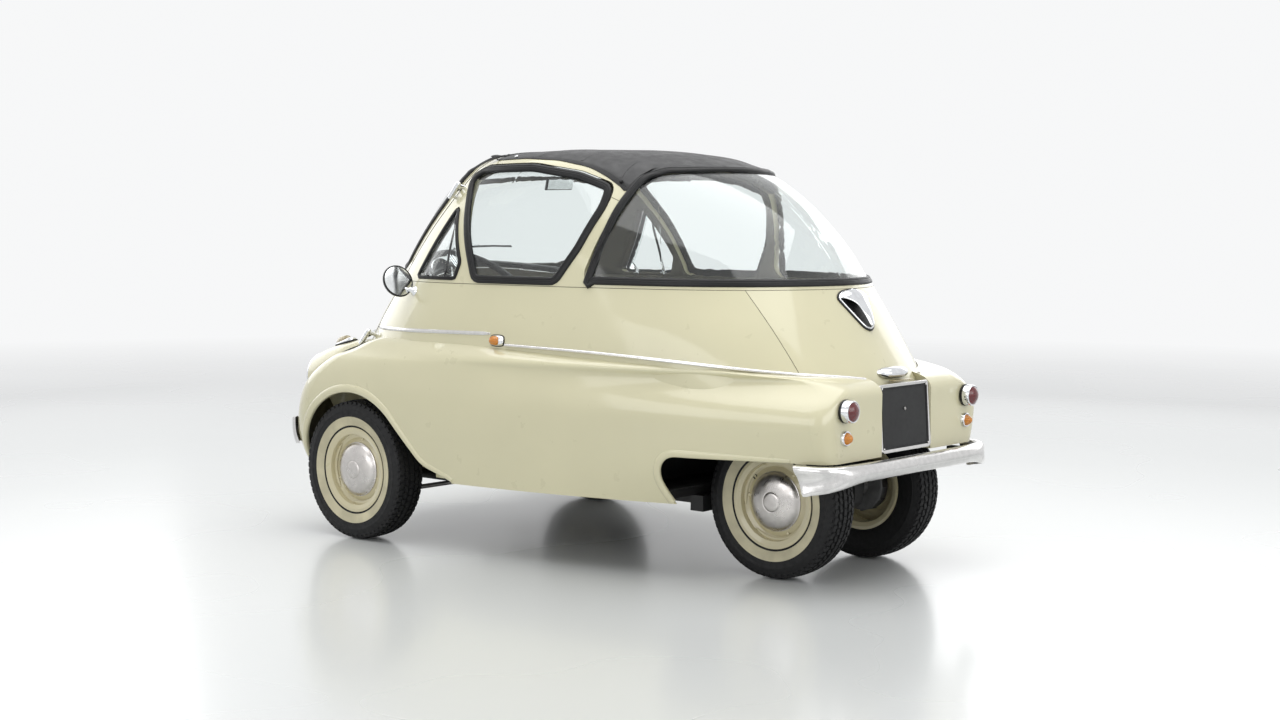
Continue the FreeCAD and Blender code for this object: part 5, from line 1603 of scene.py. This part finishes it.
def inflate(piece, voxel, pressure, cap):
    """Remeshes a pad, blows it up as cloth, and keeps each point within cap of where it began."""
    remesh = piece.modifiers.new("remesh", "REMESH")
    remesh.mode, remesh.voxel_size = "VOXEL", voxel
    even_mesh = evaluated(piece)
    piece.modifiers.clear()
    start = piece.data
    piece.data = even_mesh
    bpy.data.meshes.remove(start)
    places = [v.co.copy() for v in piece.data.vertices]
    cloth = piece.modifiers.new("cloth", "CLOTH")
    cloth.settings.quality = 6
    cloth.settings.mass = 0.3
    cloth.settings.tension_stiffness = cloth.settings.compression_stiffness = 18
    cloth.settings.bending_stiffness = 1.2
    cloth.settings.use_pressure = True
    cloth.settings.uniform_pressure_force = pressure
    cloth.settings.effector_weights.gravity = 0
    cloth.point_cache.frame_end = 24
    scene = bpy.context.scene
    for frame_number in range(1, 21):
        scene.frame_set(frame_number)
    blown = evaluated(piece)
    places_after = [v.co.copy() for v in blown.vertices]
    piece.modifiers.clear()
    scene.frame_set(1)
    for vertex, before, after in zip(piece.data.vertices, places, places_after):
        shift = after - before
        vertex.co = before + (shift.normalized() * cap if shift.length > cap else shift)
    bpy.data.meshes.remove(blown)
    piece.data.shade_smooth()


def seat_pad(name, node, low, high, round_, face, channels, level):
    """A stuffed pad with sewn channels on one face: face is the axis that they are pressed along."""
    piece = Shape().box(low, high, round_).build(name, "seat_cloth")
    inflate(piece, 0.007, 4.0, 0.024)
    centre = (Vector(low) + Vector(high)) / 2
    reach = (Vector(high) - Vector(low)) / 2
    box_low, box_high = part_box(node)
    for v in piece.data.vertices:
        p = v.co
        toward = face.dot(p - centre) / abs(face.dot(reach))
        if toward > 0.2:
            near = min(abs(p.x - c) for c in channels)
            side = (p - centre) - face * face.dot(p - centre)
            inner = min(
                1.0, max(0.0, (1 - max(abs(side[a]) / reach[a] for a in range(3) if not face[a])) * 7)
            )
            press = math.exp(-((near / 0.010) ** 2)) * 0.0095 * inner * min(1.0, (toward - 0.2) * 2)
            v.co = p - face * press
        for a in range(3):
            v.co[a] = min(max(v.co[a], box_low[a] - level), box_high[a] + level)
    rounding = piece.modifiers.new("rounding", "SUBSURF")
    rounding.levels = rounding.render_levels = 1
    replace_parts(piece, node)
    return BVHTree.FromObject(piece, bpy.context.evaluated_depsgraph_get())


CHANNELS = [-0.352 + 0.088 * k for k in range(9)]
cushion_low, cushion_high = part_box("seat_cushion")
pad_low = cushion_low + Vector((0.014, 0.014, 0.012))
pad_high = cushion_high - Vector((0.014, 0.030, 0.018))
seat_tree = seat_pad(
    "seat_pad", "seat_cushion", pad_low, pad_high, 0.034, Vector((0, 0, 1)), CHANNELS, 0.004
)
back_low, back_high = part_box("seat_backrest")
rest_low = Vector((back_low.x + 0.014, back_low.y + 0.034, back_low.z + 0.022))
rest_high = Vector((back_high.x - 0.014, back_high.y - 0.028, back_high.z - 0.016))
rest_tree = seat_pad(
    "backrest_pad", "seat_backrest", rest_low, rest_high, 0.032, Vector((0, -1, 0)), CHANNELS, 0.004
)
stitches = Shape()
for c in CHANNELS:
    line = []
    for y in steps(pad_low.y + 0.050, pad_high.y - 0.030, 40):
        hit = seat_tree.ray_cast(Vector((c, y, 1.0)), Vector((0, 0, -1)))[0]
        if hit:
            line.append(hit + Vector((0, 0, 0.0002)))
    stitches.tube(line, 0.0011, steps=6)
    line = []
    for z in steps(rest_low.z + 0.045, rest_high.z - 0.040, 36):
        hit = rest_tree.ray_cast(Vector((c, -0.5, z)), Vector((0, 1, 0)))[0]
        if hit:
            line.append(hit + Vector((0, -0.0002, 0)))
    stitches.tube(line, 0.0011, steps=6)
stitches.build("seat_stitches", "seat_piping")
piping = Shape()
rim = rounded(
    [(pad_low.x + 0.012, pad_low.y + 0.012, 0.04), (pad_high.x - 0.012, pad_low.y + 0.012, 0.04),
     (pad_high.x - 0.012, pad_high.y - 0.012, 0.04),
     (pad_low.x + 0.012, pad_high.y - 0.012, 0.04)], step=0.008
)
middle = (pad_low + pad_high) / 2
edge_points = []
for p in even([Vector((q.x, q.y, 0)) for q in rim], 0.009, True):
    top = Vector((p.x, p.y, pad_high.z - 0.012))
    outward = Vector((p.x - middle.x, (p.y - middle.y) * 2.0, 0.10)).normalized()
    hit = seat_tree.ray_cast(top + outward * 0.2, -outward)[0]
    edge_points.append(hit + outward * 0.0015 if hit else top)
piping.tube(spline(edge_points[::2], 0.008, True), 0.0042, closed=True, steps=10)
piping.build("seat_piping", "seat_piping")

# ---------------------------------------------------------------- steering wheel and column
HUB = Vector((0.230, -0.560, 0.860))
tilt = math.radians(36)
DOWN = Vector((0, -math.sin(tilt), -math.cos(tilt)))
WHEEL_R, GRIP_R = 0.195, 0.010
acrossward = Vector((1, 0, 0))
upward = DOWN.cross(acrossward).normalized()
upward = upward if upward.z > 0 else -upward
ring = Shape()
rows = []
for k in range(120):
    turn = 2 * math.pi * k / 120
    spoke = acrossward * math.cos(turn) + upward * math.sin(turn)
    row = []
    for j in range(16):
        a = 2 * math.pi * j / 16
        bump = 0.0009 * (math.cos(turn * 60) if math.sin(a) > 0.3 else 0.0)
        r = GRIP_R + 0.0012 + bump
        row.append(HUB + spoke * (WHEEL_R + math.cos(a) * r) + DOWN * (math.sin(a) * r * 1.06))
    rows.append(row)
ring.grid(rows, wrap_rows=True, wrap_columns=True)
wheel_piece = ring.build("steering_rim", "black_plastic", "steering_wheel")
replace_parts(wheel_piece, "steering_wheel")
spokes = Shape()
for degrees in (90, 210, 330):
    t = math.radians(degrees)
    for spread in (-1, 0, 1):
        spoke = (acrossward * math.cos(t) + upward * math.sin(t)).normalized()
        beside = DOWN.cross(spoke).normalized() * spread
        path = [
            HUB + spoke * 0.028 + beside * 0.0065 - DOWN * 0.002,
            HUB + spoke * 0.09 + beside * 0.0080 + DOWN * 0.010,
            HUB + spoke * 0.150 + beside * 0.0105 + DOWN * 0.006,
            HUB + spoke * (WHEEL_R - 0.004) + beside * 0.0125,
        ]
        spokes.tube(spline(path, 0.01), 0.0026, steps=10)
spokes.turn(
    [(-0.016, 0.0), (-0.0155, 0.014), (-0.0125, 0.026), (-0.007, 0.0335), (0.002, 0.0355), (0.012, 0.0345),
     (0.022, 0.028), (0.030, 0.021),
     (0.030, 0.0)],
    HUB, DOWN, 48,
)
spokes.build("steering_spokes", "bright_chrome", "steering_wheel")
Shape().turn(
    [
        (-0.0150, 0.0), (-0.0150, 0.0190), (-0.0172, 0.0186), (-0.0198, 0.0140), (-0.0212, 0.007),
        (-0.0216, 0.0)
    ],
    HUB, DOWN, 40
).build("horn_button", "black_plastic", "steering_wheel")
column = Shape()
column.turn(
    [
        (0.034, 0.0), (0.034, 0.0245), (0.040, 0.0260), (0.075, 0.0260), (0.090, 0.0225), (0.118, 0.0195),
        (0.122, 0.0)
    ],
    HUB, DOWN, 36
)
switch_foot = HUB + DOWN * 0.060
column.tube(
    spline(
        [
            switch_foot, switch_foot + Vector((0.045, 0.004, 0.006)),
            switch_foot + Vector((0.105, 0.012, 0.020))
        ],
        0.006
    ),
    0.0030, steps=10
)
column.ball(switch_foot + Vector((0.109, 0.013, 0.021)), 0.0085, (1, 0, 0.2), 16)
column.build("column_shroud", "black_plastic", "door")

# ---------------------------------------------------------------- ledge, gauge and panel on the door
INSIDE = skin_tree("front_door")
ledge_points = [cast(INSIDE, (x, -0.35, 0.893), (0, -1, 0)) for x in steps(-0.430, 0.430, 48)]
ledge_line = spline([p for p, _ in ledge_points], 0.012)
shelf_path = []
for p in ledge_line:
    rise = 0.038 - 0.043 * (p.x / 0.43) ** 2
    shelf_path.append(p + Vector((-p.x * 0.04, 0.034 + max(0.0, rise) * 0.85, rise)))
ledge = Shape().sweep(
    shelf_path,
    [
        (-0.036, -0.010), (-0.036, 0.004), (-0.030, 0.009), (0.020, 0.012), (0.032, 0.009), (0.037, 0.001),
        (0.033, -0.008), (0.024, -0.011)
    ],
    [UP] * 200,
)
ledge.build("door_ledge", "black_plastic", "door", sharp=50)
trim_edge = Shape().tube([p + Vector((0, 0.0385, -0.016)) for p in shelf_path], 0.0026, steps=8)
trim_edge.build("ledge_bead", "polished_aluminium", "door")
face = Shape().grid([
    [
        p + Vector((0, reach, drop))
        for reach, drop in ((0.033, -0.007), (0.035, -0.020), (0.030, -0.048), (0.020, -0.078))
    ]
    for p in shelf_path
])
face = face.build("door_panel_face", "trim_olive", "door")
give_thickness(face, "sheet", 0.0025, 0)
dial_at = Vector((0.230, -0.748, 0.905))
dial_axis = Vector((0, math.cos(math.radians(22)), math.sin(math.radians(22))))
Shape().turn(
    [(-0.070, 0.0), (-0.070, 0.036), (-0.050, 0.047), (-0.012, 0.0515), (0.0, 0.0515), (0.0, 0.0)], dial_at,
    dial_axis, 56
).build("gauge_pod", "black_plastic", "door")
Shape().turn(
    [
        (-0.004, 0.0500), (-0.004, 0.0535), (0.003, 0.0540), (0.0068, 0.0510), (0.0062, 0.0470),
        (0.0020, 0.0462)
    ],
    dial_at, dial_axis, 64,
    closed=True,
).build("gauge_rim", "bright_chrome", "door")
Shape().turn(
    [(0.0004, 0.0), (0.0004, 0.0462), (0.0012, 0.0462), (0.0014, 0.0)], dial_at, dial_axis, 48
).build(
    "gauge_face", "plate_black", "door"
)
marks = Shape()
dial_right = Vector((1, 0, 0))
dial_up = dial_axis.cross(dial_right).normalized()
dial_up = dial_up if dial_up.z > 0 else -dial_up
for k in range(15):
    t = math.radians(225 - 270 * k / 14)
    spoke = dial_right * math.cos(t) + dial_up * math.sin(t)
    tick = 0.0070 if k % 2 == 0 else 0.0042
    marks.tube(
        [
            dial_at + dial_axis * 0.0018 + spoke * 0.0435,
            dial_at + dial_axis * 0.0018 + spoke * (0.0435 - tick)
        ],
        0.0007, steps=6
    )
t = math.radians(200)
spoke = dial_right * math.cos(t) + dial_up * math.sin(t)
marks.tube(
    [dial_at + dial_axis * 0.0026 - spoke * 0.008, dial_at + dial_axis * 0.0026 + spoke * 0.036], 0.0009,
    steps=6
)
marks.ball(dial_at + dial_axis * 0.0030, 0.0042, dial_axis, 14, 0.5)
marks.build("gauge_marks", "pale_paint", "door")
knobs = Shape()
for x in (0.05, 0.115, 0.345):
    found = cast(INSIDE, (x, -0.35, 0.860), (0, -1, 0))
    knobs.turn(
        [
            (0.0, 0.0), (0.0, 0.006), (0.020, 0.0055), (0.022, 0.0105), (0.031, 0.0115), (0.035, 0.0085),
            (0.036, 0.0)
        ],
        found[0], (0, 1, 0.15), 24,
    )
knobs.build("door_knobs", "black_plastic", "door")

# ---------------------------------------------------------------- levers and pedals
levers, grips = Shape(), Shape()
for lever_foot, lever_knee, lever_top, grip_r, grip_length in (
    ((0.484, -0.300, 0.500), (0.478, -0.325, 0.580), (0.462, -0.352, 0.690), 0.017, 0.0),
    ((0.486, -0.170, 0.430), (0.478, -0.225, 0.500), (0.470, -0.300, 0.545), 0.0125, 0.06),
):
    path = spline([lever_foot, lever_knee, lever_top], 0.008)
    levers.tube(path, 0.0055, steps=12)
    levers.turn(
        [(0.0, 0.0), (0.0, 0.026), (0.006, 0.024), (0.012, 0.014), (0.020, 0.008), (0.020, 0.0)], lever_foot,
        Vector(lever_knee) - Vector(lever_foot), 24
    )
    if grip_length:
        tail = (path[-1] - path[-3]).normalized()
        grips.tube([path[-1] - tail * grip_length, path[-1] + tail * 0.012], grip_r, steps=16)
    else:
        grips.ball(path[-1], grip_r, (0, 0, 1), 24, 1.1)
levers.build("hand_levers", "bright_chrome")
grips.build("lever_grips", "black_plastic")
gate = Shape().box((0.486, -0.345, 0.470), (0.512, -0.140, 0.520), 0.010)
gate.build("lever_bracket", "chassis_black")
pedals, pads = Shape(), Shape()
for x, wide in ((0.335, 0.048), (0.250, 0.048), (0.165, 0.036)):
    pedal_foot = Vector((x, -0.835, 0.268))
    pedal_top = Vector((x, -0.800, 0.400))
    pedals.tube(spline([pedal_foot, Vector((x, -0.845, 0.33)), pedal_top], 0.008), 0.0065, steps=12)
    place = Matrix.Translation(pedal_top) @ Matrix.Rotation(math.radians(-32), 4, "X")
    pads.box((-wide / 2, -0.006, -0.030), (wide / 2, 0.008, 0.030), 0.004, place)
    for k in range(5):
        z = -0.022 + 0.011 * k
        pads.box((-wide / 2 + 0.003, 0.006, z - 0.002), (wide / 2 - 0.003, 0.0105, z + 0.002), 0.001, place)
pedals.box((0.130, -0.860, 0.256), (0.370, -0.812, 0.276), 0.004)
pedals.build("pedal_arms", "chassis_black")
pads.build("pedal_pads", "seal_rubber")

# ---------------------------------------------------------------- underside
dampers, rods = Shape(), Shape()
low_end, high_end = Vector((0.150, 0.735, 0.215)), Vector((0.150, 0.560, 0.420))
line = (high_end - low_end).normalized()
length = (high_end - low_end).length
rods.turn([(0.0, 0.0), (0.0, 0.0065), (length, 0.0065), (length, 0.0)], low_end, line, 16)
dampers.turn(
    [
        (0.012, 0.0), (0.012, 0.021), (0.016, 0.0235), (length * 0.52, 0.0235), (length * 0.53, 0.0215),
        (length * 0.53, 0.0)
    ],
    low_end, line, 28
)
dampers.turn(
    [
        (length * 0.45, 0.0260), (length * 0.94, 0.0260), (length * 0.955, 0.022), (length * 0.955, 0.0),
        (length * 0.45, 0.0)
    ],
    low_end, line, 28
)
for spot in (low_end, high_end):
    dampers.turn([(-0.016, 0.0), (-0.016, 0.013), (0.016, 0.013), (0.016, 0.0)], spot, (1, 0, 0), 20)
dampers.mirrored().build("dampers", "chassis_black")
rods.mirrored().build("damper_rods", "steel")

PLATE_REACH = 0.047
for side, sign in (("left", 1), ("right", -1)):
    back = Vector((0.6 * sign, -0.750, 0.2385))
    drum = Shape().turn(
        [(-PLATE_REACH, 0.0), (-PLATE_REACH, 0.070), (-PLATE_REACH + 0.004, 0.078),
         (-PLATE_REACH + 0.010, 0.0800),
         (-PLATE_REACH + 0.013, 0.074), (-PLATE_REACH + 0.013, 0.0)],
        back, (sign, 0, 0), 48,
    )
    for k in range(6):
        turn = math.radians(60 * k + 15)
        drum.turn(
            [(-PLATE_REACH - 0.005, 0.0), (-PLATE_REACH - 0.005, 0.0052), (-PLATE_REACH + 0.001, 0.0055),
             (-PLATE_REACH + 0.001, 0.0)],
            back + Vector((0, math.cos(turn) * 0.060, math.sin(turn) * 0.060)), (sign, 0, 0), 6,
        )
    drum.build(f"brake_plate_{side}", "chassis_black", f"knuckle_{side}")
rear_drums = Shape()
for sign in (1, -1):
    hub = Vector((0.243 * sign, 0.750, 0.2385))
    rear_drums.turn(
        [
            (-0.046, 0.0), (-0.046, 0.074), (-0.042, 0.082), (-0.012, 0.0835), (-0.006, 0.078),
            (-0.004, 0.060), (-0.004, 0.0)
        ],
        hub, (sign, 0, 0), 56
    )
    for k in range(12):
        turn = 2 * math.pi * k / 12
        rear_drums.turn(
            [(-0.040, 0.0), (-0.040, 0.0028), (-0.014, 0.0028), (-0.014, 0.0)],
            hub + Vector((0, math.cos(turn) * 0.0835, math.sin(turn) * 0.0835)), (sign, 0, 0), 8,
        )
rear_drums.build("rear_drums", "engine_grey", "rear_wheels")

pipe = Shape()
pipe.turn(
    [(0.0, 0.0), (0.0, 0.036), (0.006, 0.0430), (0.020, 0.0455), (0.060, 0.0455), (0.062, 0.0470),
     (0.072, 0.0470), (0.074, 0.0455),
     (0.200, 0.0455), (0.202, 0.0470), (0.212, 0.0470), (0.214, 0.0455), (0.250, 0.0455), (0.264, 0.0430),
     (0.270, 0.036), (0.270, 0.0)],
    (-0.395, 0.540, 0.305), (0, 1, 0), 40,
)
pipe.tube(
    spline(
        [(-0.395, 0.800, 0.305), (-0.395, 0.832, 0.300), (-0.385, 0.862, 0.270), (-0.375, 0.884, 0.232)], 0.01
    ),
    0.0155, steps=16
)
pipe.tube(
    spline(
        [(-0.300, 0.455, 0.330), (-0.345, 0.480, 0.312), (-0.388, 0.510, 0.305), (-0.395, 0.552, 0.305)], 0.01
    ),
    0.0165, steps=16
)
pipe.build("exhaust", "steel")
straps = Shape()
for y in (0.620, 0.722):
    straps.turn(
        [(y - 0.540, 0.0462), (y - 0.540, 0.0484), (y - 0.526, 0.0484), (y - 0.526, 0.0462)],
        (-0.395, 0.540, 0.305), (0, 1, 0), 40, closed=True
    )
    straps.box((-0.402, y, 0.350), (-0.388, y + 0.014, 0.415), 0.001)
straps.build("exhaust_straps", "chassis_black")
brake_lines = Shape()
PIPE_RUN = [(0.125, -0.80, 0.190), (0.125, -0.40, 0.176), (0.125, 0.10, 0.176), (0.125, 0.45, 0.186)]
HOSE_RUN = [(0.300, -0.470, 0.236), (0.360, -0.56, 0.224), (0.440, -0.68, 0.215), (0.500, -0.735, 0.262)]
for run, spacing, radius, sides in ((PIPE_RUN, 0.02, 0.0030, 8), (HOSE_RUN, 0.01, 0.0050, 10)):
    for sign in (1, -1):
        brake_lines.tube(spline([(x * sign, y, z) for x, y, z in run], spacing), radius, steps=sides)
brake_lines.build("brake_lines", "seal_rubber")
springs = Shape()
for leaf in range(4):
    z = 0.2020 - 0.0075 * leaf
    far = 0.760 - 0.055 * leaf
    springs.box((0.128, 0.505, z - 0.0060), (0.172, far, z), 0.0012)
springs.box((0.124, 0.672, 0.186), (0.176, 0.690, 0.206), 0.0015)
springs.mirrored().build("spring_leaves", "chassis_black")
fins = Shape()
e_low, e_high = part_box("engine")
for k in range(9):
    z = e_low.z + 0.05 + 0.022 * k
    fins.box((e_low.x - 0.006, e_low.y + 0.030, z), (e_high.x + 0.006, e_high.y + 0.008, z + 0.006), 0.0015)
fins.build("engine_fins", "engine_grey")
